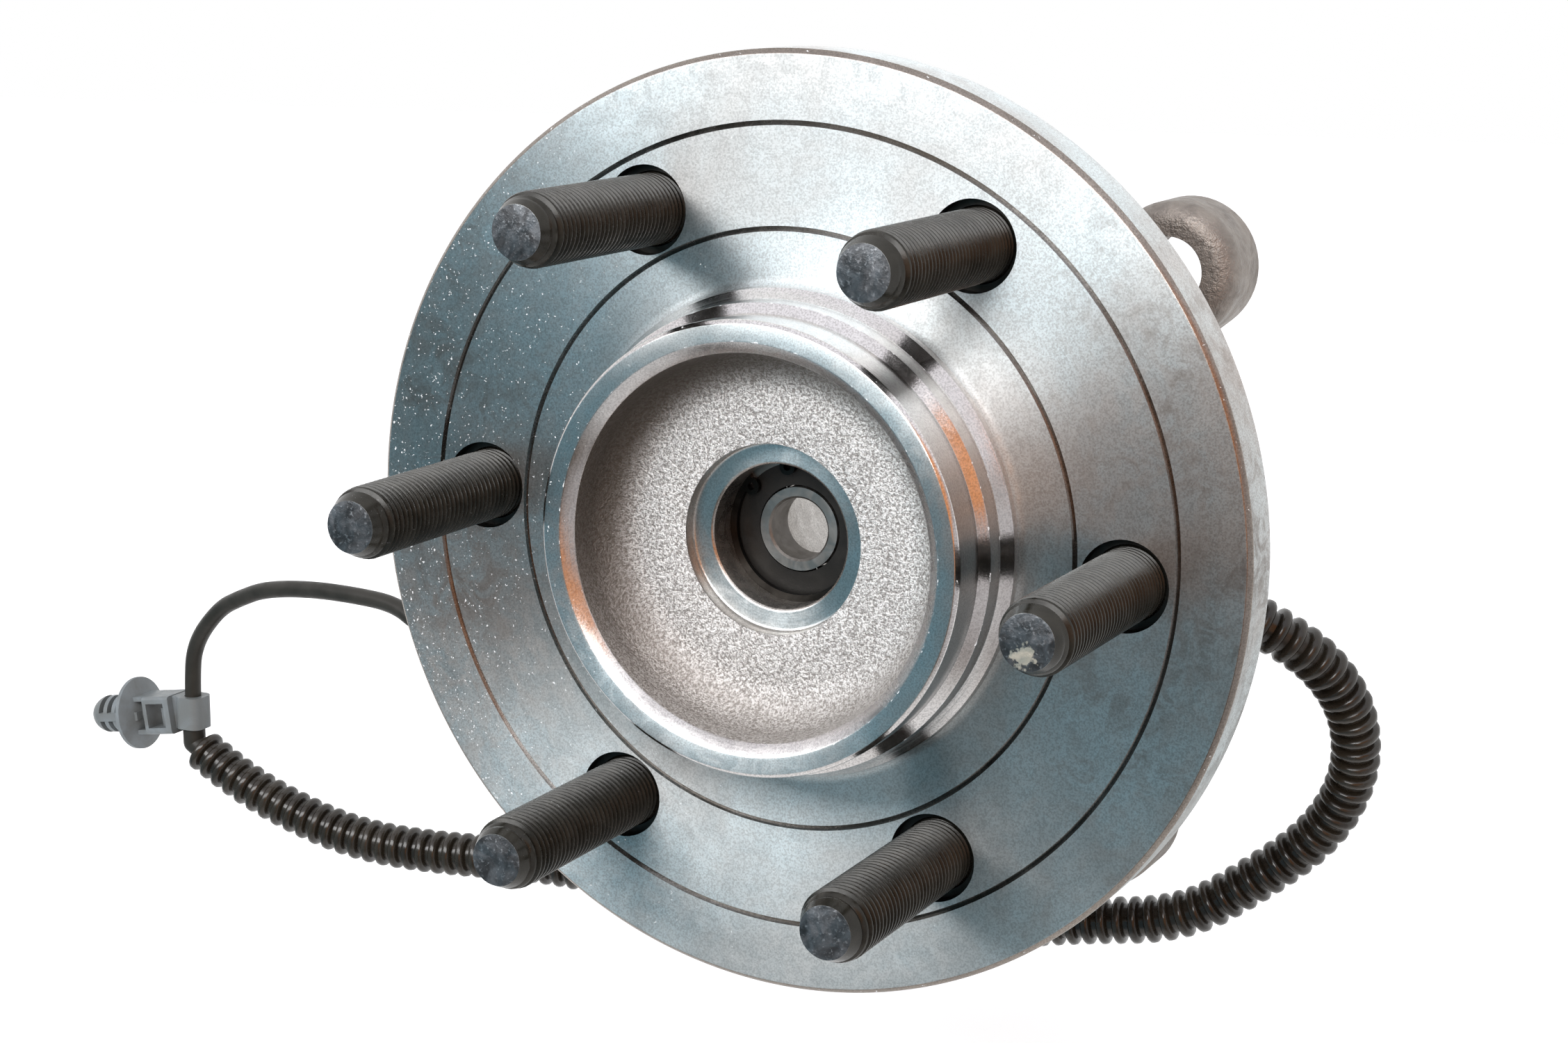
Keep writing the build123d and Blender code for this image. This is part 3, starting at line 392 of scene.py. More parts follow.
def forged_skin(name, light, dark, grain_scale, strength):
    """Forged scale, brown-grey, with small pits."""
    material, tree, shader = start_material(name, light, 0.75, 0.45)
    grain = use_group(tree, SKIN_GRAIN, Grain_Scale=grain_scale)
    mottle = use_group(tree, STEEL_MOTTLE, Patch_Scale=240.0, Speck_Scale=900.0)
    colour = mix_colour(tree, mottle["Patches"], dark, light)
    colour = mix_colour(tree, maths(tree, "MULTIPLY", mottle["Specks"], 0.6), colour, (0.45, 0.41, 0.37))
    tree.links.new(colour, shader.inputs["Base Color"])
    tree.links.new(maths(tree, "MULTIPLY_ADD", mottle["Smears"], 0.2, 0.36), shader.inputs["Roughness"])
    add_bump(tree, shader, grain["Height"], strength, 0.0003)
    return material


def phosphate_black():
    """Dark olive coat of the studs, with faint patches and a few light specks."""
    material, tree, shader = start_material("stud_phosphate", (0.020, 0.018, 0.014), 0.15, 0.33)
    mottle = use_group(tree, STEEL_MOTTLE, Patch_Scale=150.0, Speck_Scale=1900.0)
    grain = use_group(tree, SKIN_GRAIN, Grain_Scale=2600.0)
    colour = mix_colour(tree, mottle["Patches"], (0.012, 0.011, 0.008), (0.026, 0.024, 0.019))
    colour = mix_colour(tree, maths(tree, "MULTIPLY", mottle["Specks"], 0.25), colour, (0.25, 0.25, 0.25))
    tree.links.new(colour, shader.inputs["Base Color"])
    tree.links.new(maths(tree, "MULTIPLY_ADD", mottle["Smears"], 0.10, 0.20), shader.inputs["Roughness"])
    shader.inputs["Specular IOR Level"].default_value = 0.38
    add_bump(tree, shader, grain["Height"], 0.2, 0.00006)
    return material


def stud_end_steel():
    """Bare, scuffed end of a stud."""
    material, tree, shader = start_material("stud_end_steel", (0.30, 0.31, 0.32), 0.85, 0.4)
    mottle = use_group(tree, STEEL_MOTTLE, Patch_Scale=260.0, Speck_Scale=1300.0)
    grain = use_group(tree, SKIN_GRAIN, Grain_Scale=1500.0)
    colour = mix_colour(tree, mottle["Patches"], (0.05, 0.05, 0.052), (0.17, 0.178, 0.19))
    colour = mix_colour(tree, maths(tree, "MULTIPLY", grain["Pits"], 0.4), colour, (0.50, 0.51, 0.53))
    coord = object_place(tree)[0]
    apart = tree.nodes.new("ShaderNodeVectorMath")
    apart.operation = "DISTANCE"
    apart.inputs[1].default_value = (0.0668, -0.0998, -0.0066)
    tree.links.new(coord, apart.inputs[0])
    bare = maths(tree, "MULTIPLY_ADD", apart.outputs["Value"], -160.0, noise(tree, coord, 700.0, 3.0))
    colour = mix_colour(tree, step_up(tree, bare, 0.14, 0.24), colour, (0.60, 0.54, 0.45))
    tree.links.new(colour, shader.inputs["Base Color"])
    tree.links.new(maths(tree, "MULTIPLY_ADD", mottle["Smears"], 0.25, 0.32), shader.inputs["Roughness"])
    add_bump(tree, shader, grain["Height"], 0.6, 0.00015)
    return material


def moulded(name, colour, other, roughness, grain_scale=1600.0, strength=0.15, coat=0.0, specular=0.25):
    """Moulded plastic or rubber with a faint grain and uneven gloss."""
    material, tree, shader = start_material(name, colour, 0.0, roughness)
    mottle = use_group(tree, STEEL_MOTTLE, Patch_Scale=110.0, Speck_Scale=1500.0)
    grain = use_group(tree, SKIN_GRAIN, Grain_Scale=grain_scale)
    tree.links.new(mix_colour(tree, mottle["Patches"], other, colour), shader.inputs["Base Color"])
    tree.links.new(maths(tree, "MULTIPLY_ADD", mottle["Smears"], 0.14, roughness - 0.05),
                   shader.inputs["Roughness"])
    add_bump(tree, shader, grain["Height"], strength, 0.0001)
    shader.inputs["Coat Weight"].default_value = coat
    shader.inputs["Specular IOR Level"].default_value = specular
    return material


def plain_metal(name, colour, other, roughness):
    """Small ground, pressed or plated metal part."""
    material, tree, shader = start_material(name, colour, 1.0, roughness)
    mottle = use_group(tree, STEEL_MOTTLE, Patch_Scale=200.0, Speck_Scale=2400.0)
    tree.links.new(mix_colour(tree, mottle["Patches"], other, colour), shader.inputs["Base Color"])
    tree.links.new(maths(tree, "MULTIPLY_ADD", mottle["Smears"], 0.12, roughness), shader.inputs["Roughness"])
    return material


FACE_EDGES = ((91.2, 51.8, 1.6, 0.7), (45.2, 61.0, 0.9, 0.6), (45.2, 56.6, 0.8, 0.3))
NOSE_EDGES = ((43.0, 71.2, 1.1, 0.7), (39.1, 71.4, 0.9, 0.6))
face_steel = turned_steel("flange_turned_steel", edges=FACE_EDGES, stains=0.75)
# Rim chamfer: the same turned steel, tinted dark brown as a painted reflection.
rim_edge_painted_reflection = turned_steel("flange_edge_painted_reflection", tint=(0.42, 0.37, 0.33), dark=(0.30, 0.26, 0.23),
                          roughness=(0.22, 0.28), edges=FACE_EDGES[:1], anisotropy=0.5, specks=0.4)
# Grooves: the same turned steel made much darker, as painted shade in the creases.
groove_painted_shade = turned_steel("flange_groove_painted_shade", tint=(0.33, 0.32, 0.31), dark=(0.16, 0.145, 0.13),
                            roughness=(0.20, 0.26), anisotropy=0.5, specks=0.4)
pilot_steel = turned_steel("pilot_turned_steel", along_axle=1.0, tint=(0.90, 0.88, 0.88),
                           dark=(0.74, 0.70, 0.68), roughness=(0.13, 0.19),
                           edges=FACE_EDGES[1:] + NOSE_EDGES[:1], anisotropy=0.6, specks=0.4)
nose_steel = turned_steel("nose_turned_steel", edges=NOSE_EDGES, roughness=(0.32, 0.40), anisotropy=0.88)
chamfer_steel = turned_steel("chamfer_turned_steel", tint=(0.78, 0.76, 0.75), dark=(0.62, 0.59, 0.58),
                             roughness=(0.20, 0.28), anisotropy=0.6, specks=0.4)
spot_steel = turned_steel("spot_face_turned_steel", roughness=(0.26, 0.34), anisotropy=0.85, specks=0.3)
bore_steel = turned_steel("bore_turned_steel", along_axle=1.0, tint=(0.66, 0.64, 0.62),
                          dark=(0.50, 0.47, 0.44), roughness=(0.22, 0.32), anisotropy=0.6, specks=0.3)
# Painted shade: the stud recesses and holes get near-black steel.
recess_painted_shade = plain_metal("stud_recess_painted_shade", (0.055, 0.052, 0.048), (0.030, 0.028, 0.025), 0.38)
cup_steel = blasted_steel()
ear_steel = forged_skin("ear_forged_steel", (0.335, 0.30, 0.27), (0.23, 0.205, 0.185), 1300.0, 1.0)
stud_coat = phosphate_black()
stud_end = stud_end_steel()
# Stud end rims: lighter steel that is partly wear and partly a painted highlight on the edge.
stud_rim_wear_and_highlight = plain_metal("stud_rim_wear_and_painted_highlight", (0.46, 0.46, 0.45), (0.08, 0.08, 0.078), 0.30)
race_steel = plain_metal("race_ground_steel", (0.46, 0.44, 0.42), (0.34, 0.32, 0.30), 0.40)
bush_steel = plain_metal("tip_bearing_race_steel", (0.34, 0.325, 0.31), (0.24, 0.225, 0.21), 0.38)
ball_steel = plain_metal("ball_polished_steel", (0.70, 0.70, 0.70), (0.62, 0.62, 0.62), 0.06)
pressed_steel = plain_metal("pressed_sheet_steel", (0.34, 0.34, 0.33), (0.26, 0.26, 0.26), 0.35)
drive_steel = plain_metal("drive_ring_steel", (0.40, 0.39, 0.37), (0.30, 0.29, 0.27), 0.32)
plated_steel = plain_metal("bolt_zinc_plate", (0.62, 0.60, 0.52), (0.50, 0.49, 0.44), 0.28)
spring_black = plain_metal("ring_spring_steel", (0.035, 0.032, 0.029), (0.02, 0.018, 0.016), 0.30)
pin_metal = plain_metal("pin_tinned_brass", (0.72, 0.62, 0.36), (0.62, 0.55, 0.35), 0.2)
cage_plastic = moulded("cage_nylon", (0.50, 0.45, 0.34), (0.42, 0.37, 0.28), 0.45)
seal_rubber = moulded("seal_black_rubber", (0.010, 0.009, 0.008), (0.018, 0.016, 0.014), 0.40, 1900.0, 0.3)
sensor_black = moulded("sensor_black_nylon", (0.030, 0.030, 0.032), (0.045, 0.044, 0.044), 0.42)
boot_rubber = moulded("boot_black_rubber", (0.022, 0.022, 0.022), (0.034, 0.032, 0.030), 0.5)
conduit_black = moulded("conduit_dark_plastic", (0.013, 0.010, 0.007), (0.024, 0.019, 0.013), 0.22,
                        1200.0, 0.08, 0.1, 0.5)
cable_grey = moulded("cable_dark_jacket", (0.018, 0.017, 0.014), (0.028, 0.026, 0.022), 0.36)
clip_grey = moulded("clip_blue_grey_nylon", (0.17, 0.195, 0.21), (0.125, 0.135, 0.135), 0.36, specular=0.4)
connector_black = moulded("connector_black_nylon", (0.035, 0.035, 0.038), (0.05, 0.05, 0.05), 0.4)
latch_grey = moulded("latch_grey_nylon", (0.22, 0.23, 0.24), (0.27, 0.28, 0.29), 0.4)


# ==== Wheel hub ====

ROOT_R = 47.2
TRACK_R = 7.344
TRACK_BOTTOM_R = 39.5 - TRACK_R
TRACK_HEIGHT = 23.0
CUP_FILLET = 8.0


def arc(centre, radius, start_deg, end_deg, count):
    """Points on an arc in the (radius, height) plane."""
    turns = [math.radians(start_deg + (end_deg - start_deg) * i / count) for i in range(count + 1)]
    return [(centre[0] + radius * math.cos(t), centre[1] + radius * math.sin(t)) for t in turns]


def rounded(before, corner, after, radius, count):
    """The corner of an outline replaced by a tangent arc."""
    corner = Vector(corner)
    back = (Vector(before) - corner).normalized()
    on = (Vector(after) - corner).normalized()
    half = back.angle(on) / 2
    centre = corner + (back + on).normalized() * radius / math.sin(half)
    start = corner + back * radius / math.tan(half) - centre
    sweep = start.angle_signed(corner + on * radius / math.tan(half) - centre)
    return [tuple(centre + Matrix.Rotation(-sweep * i / count, 2) @ start) for i in range(count + 1)]


def hub_outline():
    """Whole section of the hub, from the rim in over the nose, out through the bore, and back."""
    face = [(91.4, 51.0), (90.4, 52.0)]
    for groove in (77.7, 58.0):
        face += [(groove + 0.5, 52.0), (groove, 51.5), (groove - 0.5, 52.0)]
    root = rounded((58.0, WHEEL_FACE), (ROOT_R, WHEEL_FACE), (ROOT_R, 54.4), 2.0, 6)
    pilot = [(47.2, 54.4), (45.2, 56.6), (45.2, 61.0), (43.2, 62.2), (43.2, 70.6), (42.4, 71.4),
             (39.1, 71.4), (36.8, 69.4)]
    corner = rounded((36.8, 69.4), (35.4, 57.2), (18.3, 59.1), CUP_FILLET, 16)
    spot = rounded((18.3, 59.1), (18.3, 56.0), (14.4, 56.0), 0.7, 4)
    cup = [(18.3, 59.1)] + spot + [(14.4, 56.0), (14.01, 55.6), (14.01, 48.7), (14.7, 48.7),
           (14.7, 47.4), (14.01, 47.4), (14.01, 39.4), (11.5, 39.4), (11.5, 35.5), (15.0, 35.5),
           (15.0, 18.0), (20.0, 18.0), (20.0, -34.0), (21.0, -35.0)]
    track = arc((39.5, TRACK_HEIGHT), TRACK_R, 180, 110, 8)
    barrel = [(30.5, -35.0), (31.5, -34.0), (31.5, -32.01), (28.5, -32.01), (28.5, 4.0),
              (TRACK_BOTTOM_R, 4.0)] + track
    neck = [(37.0, 37.6), (39.4, 40.0), (90.4, 40.0), (91.4, 41.0)]
    return face + root + pilot + corner + cup + barrel + neck


def hub_region(radius, height):
    """Material index: 0 face, 1 pilot, 2 nose, 3 cup, 4 bore, 5 forged back, 6 chamfer, 7 spot face,
    8 rim edge with a painted brown reflection, 9 grooves with painted shade."""
    if height < 51.0 and radius > 36.0:
        return 5 if radius < 90.0 else 0
    if radius > ROOT_R + 0.3 or height < WHEEL_FACE - 0.5:
        if WHEEL_FACE - 0.95 < height < WHEEL_FACE - 0.05 and not 48.0 < radius < 57.0:
            return 8 if radius > 89.0 else 9
        return 0 if radius > 30.0 else 4
    if radius > 42.6:
        return 1
    if height > 71.3:
        return 2
    if height > 69.4:
        return 6
    if radius > 18.4:
        return 3
    return 7 if radius > 14.3 and height < 56.3 else 4


def stud_places():
    """Turn of each stud about the axle."""
    return [math.radians(STUD_TURN + 360.0 / STUD_COUNT * i) for i in range(STUD_COUNT)]


def to_stud(turn):
    """Matrix that takes a stud drawn on the Y axis to its place on the circle."""
    place = Matrix.Translation((STUD_CIRCLE_R * MM * math.cos(turn), 0, STUD_CIRCLE_R * MM * math.sin(turn)))
    return place @ Matrix.Rotation(-turn, 4, "Y")


def stud_recess_cutter():
    """Six stepped plugs that cut the recess and the hole round each stud, and hand the cut faces a near-black
    painted shade.
    """
    bm = bmesh.new()
    for turn in stud_places():
        part = bmesh.new()
        lathe(part, [(0.0, 53.5), (9.0, 53.5), (8.6, 51.6), (8.6, 49.0), (7.31, 49.0), (7.31, 38.0), (0.0, 38.0)],
              48, closed=False)
        bmesh.ops.transform(part, matrix=to_stud(turn), verts=part.verts[:])
        mesh = bpy.data.meshes.new("recess")
        part.to_mesh(mesh)
        part.free()
        bm.from_mesh(mesh)
        bpy.data.meshes.remove(mesh)
    bmesh.ops.recalc_face_normals(bm, faces=bm.faces[:])
    mesh = bpy.data.meshes.new("stud_recesses")
    bm.to_mesh(mesh)
    bm.free()
    mesh.materials.append(recess_painted_shade)
    cutter = bpy.data.objects.new("stud_recesses", mesh)
    scene.collection.objects.link(cutter)
    return cutter


def build_hub():
    bm = bmesh.new()
    lathe(bm, hub_outline(), 288)
    for face in bm.faces:
        face.material_index = hub_region(*face_station(face))
    round_rings(bm, [(91.4, 51.0), (90.4, 52.0), (45.2, 56.6), (45.2, 61.0), (43.2, 62.2),
                     (43.2, 70.6), (42.4, 71.4), (39.1, 71.4), (36.8, 69.4), (18.3, 59.1),
                     (14.4, 56.0), (91.4, 41.0)], 0.22)
    cutter = stud_recess_cutter()
    piece = make_piece(bm, "hub_forging", [face_steel, pilot_steel, nose_steel, cup_steel, bore_steel,
                                        ear_steel, chamfer_steel, spot_steel, rim_edge_painted_reflection, groove_painted_shade],
                       "hub", ("wheel_hub",), 25.0)
    cut = piece.modifiers.new("recess", "BOOLEAN")
    cut.operation = "DIFFERENCE"
    cut.solver = "EXACT"
    cut.object = cutter
    cut.material_mode = "TRANSFER"
    bpy.context.view_layer.update()
    finished = bpy.data.meshes.new_from_object(piece.evaluated_get(bpy.context.evaluated_depsgraph_get()))
    piece.modifiers.clear()
    piece.data = finished
    finished.name = "hub_forging"
    finished.set_sharp_from_angle(angle=math.radians(25.0))
    bpy.data.objects.remove(cutter)
    return piece


# ==== Wheel studs ====

THREAD_PITCH = 1.5
THREAD_ROOT_R = 5.9
THREAD_START = 48.6
LEAD_START = WHEEL_FACE + STUD_TIP - 4.6
TIP_HEIGHT = WHEEL_FACE + STUD_TIP
TIP_R = 5.0
THREAD_STEPS = 36


def threaded_shank():
    """One threaded stud on the Y axis: a helical thread that fades into a coned lead."""
    bm = bmesh.new()
    half = THREAD_PITCH / 2
    profile = [(THREAD_ROOT_R, 0.0), (THREAD_ROOT_R, 0.12 * THREAD_PITCH), (STUD_R - 0.06, 0.42 * THREAD_PITCH),
               (STUD_R, half), (STUD_R, half + 0.08 * THREAD_PITCH), (STUD_R - 0.06, 0.70 * THREAD_PITCH),
               (THREAD_ROOT_R, THREAD_PITCH)]
    verts = [bm.verts.new(on_axle(r, THREAD_START - THREAD_PITCH * 2 + h)) for r, h in profile]
    edges = [bm.edges.new(pair) for pair in zip(verts, verts[1:])]
    turns = math.ceil((TIP_HEIGHT - THREAD_START) / THREAD_PITCH) + 4
    rise = Vector((0, -THREAD_PITCH * MM / THREAD_STEPS, 0))
    bmesh.ops.spin(bm, geom=verts + edges, cent=(0, 0, 0), axis=(0, -1, 0), dvec=rise,
                   angle=math.tau * turns, steps=THREAD_STEPS * turns, use_merge=False, use_duplicate=False)
    bmesh.ops.remove_doubles(bm, verts=bm.verts[:], dist=1e-6)
    for vert in bm.verts:
        height = -vert.co.y / MM
        slope = (height - LEAD_START) / (TIP_HEIGHT - LEAD_START)
        limit = STUD_R - (STUD_R - TIP_R) * min(max(slope, 0.0), 1.0)
        radius = math.hypot(vert.co.x, vert.co.z) / MM
        if radius > limit:
            vert.co.x *= limit / radius
            vert.co.z *= limit / radius
    for height, outward in ((THREAD_START, -1), (TIP_HEIGHT, 1)):
        bmesh.ops.bisect_plane(bm, geom=bm.verts[:] + bm.edges[:] + bm.faces[:], dist=1e-7,
                               plane_co=(0, -height * MM, 0), plane_no=(0, -outward, 0),
                               clear_outer=True, clear_inner=False)
    open_edges = [e for e in bm.edges if e.is_boundary]
    bmesh.ops.holes_fill(bm, edges=open_edges, sides=0)
    for face in bm.faces:
        if len(face.verts) > 20 and -face.calc_center_median().y / MM > TIP_HEIGHT - 0.2:
            face.material_index = 1
            rim = list(face.edges)
            # The bevelled rim takes slot 2, lighter steel that is partly wear and partly a painted highlight.
            bmesh.ops.bevel(bm, geom=rim, offset=0.35 * MM, offset_type="OFFSET", segments=2, profile=0.5,
                            affect="EDGES", material=2, clamp_overlap=True)
            break
    return bm


def stud_shoulder(bm):
    """Serrated shank, head and the shallow centre mark behind the flange."""
    lathe(bm, [(0.0, 34.7), (3.0, 35.0), (9.4, 35.0), (10.0, 35.6), (10.0, 39.6), (9.6, 40.0), (7.3, 40.0),
               (7.3, 48.0), (6.9, 48.7), (0.0, 48.7)], 48, closed=False)


def build_studs():
    rng = random.Random(5)
    whole = bmesh.new()
    one = threaded_shank()
    shank = bpy.data.meshes.new("stud_shank")
    one.to_mesh(shank)
    one.free()
    back = bmesh.new()
    stud_shoulder(back)
    shoulder = bpy.data.meshes.new("stud_shoulder")
    back.to_mesh(shoulder)
    back.free()
    for turn in stud_places():
        for mesh in (shank, shoulder):
            before = len(whole.verts)
            whole.from_mesh(mesh)
            whole.verts.ensure_lookup_table()
            added = whole.verts[before:]
            spun = to_stud(turn) @ Matrix.Rotation(rng.uniform(0, math.tau), 4, "Y")
            bmesh.ops.transform(whole, matrix=spun, verts=added)
    bpy.data.meshes.remove(shank)
    bpy.data.meshes.remove(shoulder)
    return make_piece(whole, "threaded_studs", [stud_coat, stud_end, stud_rim_wear_and_highlight], "hub",
                      ("wheel_studs",), 30.0)


# ==== Sensor lead ====

CONDUIT_ROUTE = [
    (75.3, -9.0, -16.0), (83.8, -5.5, -21.0), (91.0, 0.9, -28.2), (95.2, 7.9, -38.9),
    (94.4, 13.8, -53.1), (87.2, 16.6, -67.0), (73.4, 16.2, -78.8), (58.6, 14.3, -88.8),
    (36.9, 12.1, -91.5), (16.2, 9.8, -95.2), (-11.9, 7.8, -97.8), (-37.7, 6.1, -97.8),
    (-64.7, 4.4, -95.3), (-85.8, 2.0, -92.8), (-116.5, -0.8, -94.2), (-136.3, -3.2, -92.6),
    (-155.5, -4.7, -86.5), (-168.5, -5.3, -80.2), (-175.7, -5.0, -75.9),
]
CONDUIT_R = 5.0
VALLEY_R = 3.5
RIB_PITCH = 3.4
CABLE_ROUTE = [
    (-177.9, -5.0, -71.0), (-177.9, -5.0, -60.7), (-175.7, -6.6, -50.2), (-167.0, -8.3, -40.6),
    (-159.0, -10.4, -36.8), (-150.5, -12.9, -33.5), (-137.4, -15.8, -31.5), (-123.7, -18.7, -30.8),
    (-109.9, -21.3, -31.1), (-102.4, -24.0, -34.2), (-95.0, -24.0, -37.0),
]
CABLE_R = 1.9


def route_curve(name, route):
    """A smooth open spline whose control points are the route's points."""
    data = bpy.data.curves.new(name, "CURVE")
    data.dimensions = "3D"
    spline = data.splines.new("NURBS")
    spline.points.add(len(route) - 1)
    for point, place in zip(spline.points, route):
        point.co = (*(c * MM for c in place), 1.0)
    spline.order_u = 3
    spline.use_endpoint_u = True
    spline.resolution_u = 16
    curve = bpy.data.objects.new(name, data)
    scene.collection.objects.link(curve)
    return curve


def read_line(route):
    """Points along the route's spline, as Blender gives them."""
    curve = route_curve("route_line", route)
    bpy.context.view_layer.update()
    mesh = bpy.data.meshes.new_from_object(curve)
    line = [v.co.copy() for v in mesh.vertices]
    bpy.data.meshes.remove(mesh)
    bpy.data.objects.remove(curve)
    return line


class Line:
    """A polyline that gives place and frame at a distance along it."""

    def __init__(self, points):
        self.points = points
        self.reach = [0.0]
        for a, b in zip(points, points[1:]):
            self.reach.append(self.reach[-1] + (b - a).length)
        tangents = [(points[min(i + 1, len(points) - 1)] - points[max(i - 1, 0)]).normalized()
                    for i in range(len(points))]
        side = tangents[0].orthogonal().normalized()
        self.frames = []
        for tangent in tangents:
            side = (side - tangent * side.dot(tangent)).normalized()
            self.frames.append((side, tangent.cross(side)))

    def at(self, distance):
        distance = min(max(distance, 0.0), self.reach[-1])
        low, high = 0, len(self.reach) - 1
        while high - low > 1:
            middle = (low + high) // 2
            if self.reach[middle] <= distance:
                low = middle
            else:
                high = middle
        share = (distance - self.reach[low]) / max(self.reach[high] - self.reach[low], 1e-9)
        place = self.points[low].lerp(self.points[high], share)
        side = self.frames[low][0].lerp(self.frames[high][0], share)
        up = self.frames[low][1].lerp(self.frames[high][1], share)
        return place, side, up


def rib_outline(length):
    """(radius, station) points of the corrugation, a round rib in every pitch."""
    count = round(length / RIB_PITCH)
    pitch = length / count
    shape = [(0.00, 0.0), (0.30, 0.0), (0.34, 0.40), (0.40, 0.74), (0.50, 0.95), (0.65, 1.0),
             (0.80, 0.95), (0.90, 0.74), (0.96, 0.40)]
    points = []
    for rib in range(count):
        for share, rise in shape:
            points.append((VALLEY_R + (CONDUIT_R - VALLEY_R) * rise, (rib + share) * pitch))
    return [(2.4, 0.0)] + points + [(VALLEY_R, length), (2.4, length)]


def build_conduit():
    line = Line(read_line(CONDUIT_ROUTE))
    length = line.reach[-1] / MM
    bm = bmesh.new()
    lathe(bm, [(r, -s) for r, s in rib_outline(length)], 20, closed=False)
    for vert in bm.verts:
        place, side, up = line.at(vert.co.y)
        vert.co = place + side * vert.co.x + up * vert.co.z
    piece = make_piece(bm, "corrugated_conduit", [conduit_black], "carrier", ("conduit",), 60.0)
    return piece


def build_cable():
    cable = route_curve("sensor_cable_jacket", CABLE_ROUTE)
    cable.data.bevel_depth = CABLE_R * MM
    cable.data.bevel_resolution = 6
    cable.data.use_fill_caps = True
    cable.data.materials.append(cable_grey)
    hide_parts("sensor_cable")
    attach(cable, "carrier")
    return cable


# ==== Stage, light and camera ====

FLOOR_Z = -0.135


def white_backdrop(name, share):
    """Pale matt surface that the camera and reflections see as near white."""
    material, tree, shader = start_material(name, (0.9, 0.9, 0.9), 0.0, 0.9)
    grain = use_group(tree, SKIN_GRAIN, Grain_Scale=30.0)
    tree.links.new(mix_colour(tree, grain["Height"], (0.90, 0.90, 0.90), (0.92, 0.92, 0.92)),
                   shader.inputs["Base Color"])
    path = tree.nodes.new("ShaderNodeLightPath")
    glow = tree.nodes.new("ShaderNodeEmission")
    glow.inputs["Color"].default_value = (1, 1, 1, 1)
    seen = maths(tree, "MAXIMUM", path.outputs["Is Camera Ray"], path.outputs["Is Glossy Ray"])
    seen = maths(tree, "MAXIMUM", seen, path.outputs["Is Transmission Ray"])
    tree.links.new(maths(tree, "MULTIPLY", seen, share), glow.inputs["Strength"])
    both = tree.nodes.new("ShaderNodeAddShader")
    tree.links.new(shader.outputs[0], both.inputs[0])
    tree.links.new(glow.outputs[0], both.inputs[1])
    tree.links.new(both.outputs[0], tree.nodes["Material Output"].inputs["Surface"])
    return material


def build_floor():
    bm = bmesh.new()
    bmesh.ops.create_grid(bm, x_segments=2, y_segments=2, size=3.0,
                          matrix=Matrix.Translation((0, 0, FLOOR_Z)))
    mesh = bpy.data.meshes.new("studio_floor")
    bm.to_mesh(mesh)
    bm.free()
    mesh.materials.append(white_backdrop("floor_pale", 0.35))
    floor = bpy.data.objects.new("studio_floor", mesh)
    scene.collection.objects.link(floor)
    floor.visible_glossy = False


def toward(tree, direction, place, outer, inner):
    """1 near one direction of the room, 0 beyond it; the angles are in degrees."""
    node = tree.nodes.new("ShaderNodeVectorMath")
    node.operation = "DOT_PRODUCT"
    tree.links.new(direction, node.inputs[0])
    node.inputs[1].default_value = Vector(place).normalized()
    return step_up(tree, node.outputs["Value"], math.cos(math.radians(outer)), math.cos(math.radians(inner)))


def build_world():
    """White for the camera and behind; the room in front is teal on the left and brown on the right."""
    world = bpy.data.worlds.new("studio")
    scene.world = world
    world.use_nodes = True
    tree = world.node_tree
    background = tree.nodes["Background"]
    direction = tree.nodes.new("ShaderNodeTexCoord").outputs["Generated"]
    split = tree.nodes.new("ShaderNodeSeparateXYZ")
    tree.links.new(direction, split.inputs[0])
    across, depth, level = split.outputs["X"], split.outputs["Y"], split.outputs["Z"]
    room = mix_colour(tree, step_up(tree, across, -0.2, 0.5), (0.15, 0.265, 0.32), (0.12, 0.085, 0.06))
    room = mix_colour(tree, toward(tree, direction, (0.95, -0.3, -0.25), 40, 15), room, (0.55, 0.54, 0.55))
    room = mix_colour(tree, step_up(tree, level, 0.15, 0.5), room, (0.95, 0.95, 1.0))
    copper = maths(tree, "MAXIMUM", toward(tree, direction, (0.54, -0.84, 0.05), 22, 12),
                   toward(tree, direction, (0.72, -0.62, 0.33), 22, 12))
    room = mix_colour(tree, copper, room, (0.80, 0.34, 0.14))
    floor_glow = step_up(tree, maths(tree, "MULTIPLY", level, -1.0), 0.6, 0.9)
    room = mix_colour(tree, floor_glow, room, (0.85, 0.85, 0.85))
    behind = step_up(tree, depth, -0.1, 0.2)
    room = mix_colour(tree, behind, room, (0.8, 0.8, 0.8))
    path = tree.nodes.new("ShaderNodeLightPath")
    shown = maths(tree, "MAXIMUM", path.outputs["Is Glossy Ray"], path.outputs["Is Transmission Ray"])
    shown = maths(tree, "MAXIMUM", maths(tree, "MULTIPLY", shown, behind), path.outputs["Is Camera Ray"])
    tree.links.new(mix_colour(tree, shown, room, (1.0, 1.0, 1.0)), background.inputs["Color"])
    background.inputs["Strength"].default_value = 1.0


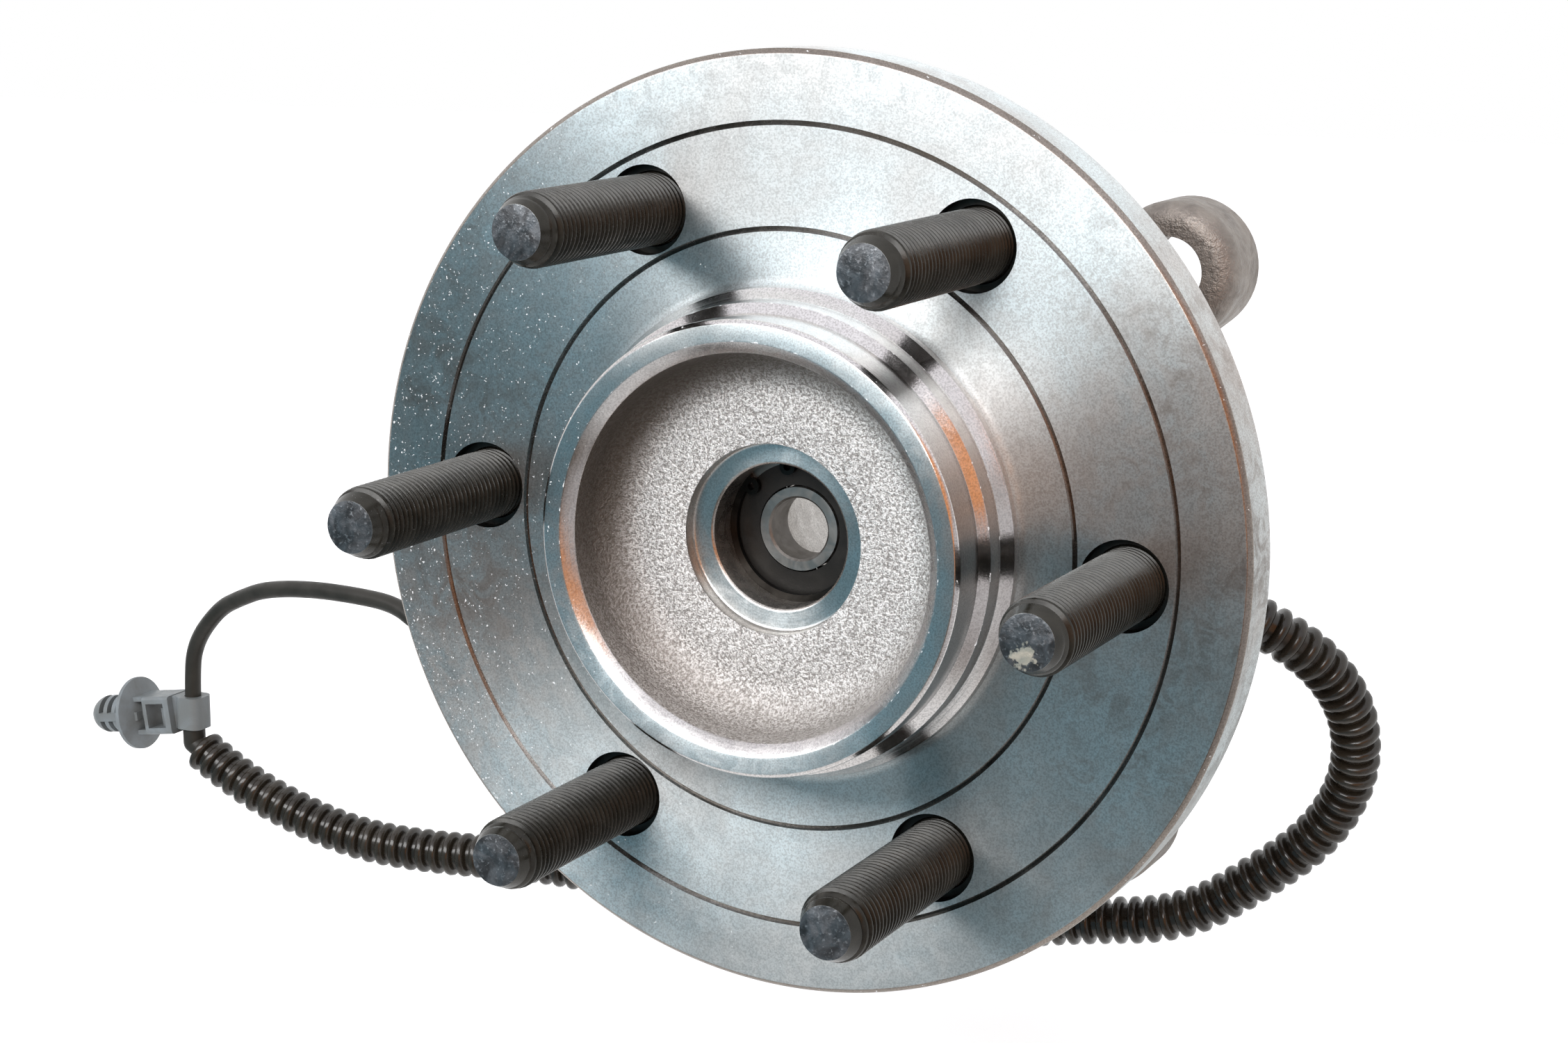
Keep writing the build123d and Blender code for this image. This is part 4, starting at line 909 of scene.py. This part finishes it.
def area_light(name, place, target, size, power, colour=(1, 1, 1)):
    data = bpy.data.lights.new(name, "AREA")
    data.shape = "RECTANGLE"
    data.size, data.size_y = size
    data.energy = power
    data.color = colour
    lamp = bpy.data.objects.new(name, data)
    aim = (Vector(target) - Vector(place)).to_track_quat("-Z", "Y")
    lamp.matrix_world = Matrix.Translation(place) @ aim.to_matrix().to_4x4()
    scene.collection.objects.link(lamp)


def build_lights():
    area_light("softbox_strip", (-0.12, -0.78, 0.42), (0, -0.05, 0), (1.35, 0.36), 9.5)


def build_camera():
    data = bpy.data.cameras.new("view")
    data.lens = 68.0
    data.sensor_width = 36.0
    data.sensor_fit = "HORIZONTAL"
    data.clip_start = 0.01
    camera = bpy.data.objects.new("view", data)
    right = Vector((0.8994, 0.4372, 0.0))
    forward = Vector((-0.4288, 0.8820, -0.1956)).normalized()
    right = (right - forward * right.dot(forward)).normalized()
    up = right.cross(forward)
    turned = Matrix((right, up, -forward)).transposed().to_4x4()
    camera.matrix_world = Matrix.Translation((0.2411, -0.5498, 0.1126)) @ turned
    scene.collection.objects.link(camera)
    scene.camera = camera


# ==== Put together ====

CAD_FINISHES = {
    "inner_ring": race_steel, "drive_ring": drive_steel, "outer_ring": ear_steel,
    "outboard_balls": ball_steel, "inboard_balls": ball_steel, "tip_bearing_balls": ball_steel,
    "outboard_cage": cage_plastic, "inboard_cage": cage_plastic, "tip_bearing_cage": cage_plastic,
    "target_ring": pressed_steel, "outboard_seal_case": pressed_steel, "inboard_seal_case": pressed_steel,
    "flinger": pressed_steel, "outboard_seal_lip": seal_rubber, "inboard_seal_lip": seal_rubber,
    "tip_bearing_outer_ring": race_steel, "tip_bearing_inner_ring": bush_steel,
    "tip_bearing_front_seal": seal_rubber, "tip_bearing_rear_seal": seal_rubber,
    "snap_ring": spring_black, "sensor_body": sensor_black, "sensor_oil_seal": seal_rubber,
    "sensor_sleeve": pressed_steel, "sensor_bolt": plated_steel, "conduit_boot": boot_rubber,
    "cable_elbow": cable_grey, "connector_gland": seal_rubber, "connector_body": connector_black,
    "connector_latch": latch_grey, "connector_pins": pin_metal, "clip_mount": clip_grey,
    "clip_strap": clip_grey,
}
for node_name, finish in CAD_FINISHES.items():
    dress(node_name, finish)
build_hub()
build_studs()
build_conduit()
build_cable()
build_floor()
build_world()
build_lights()
build_camera()
scene.view_settings.view_transform = "Standard"
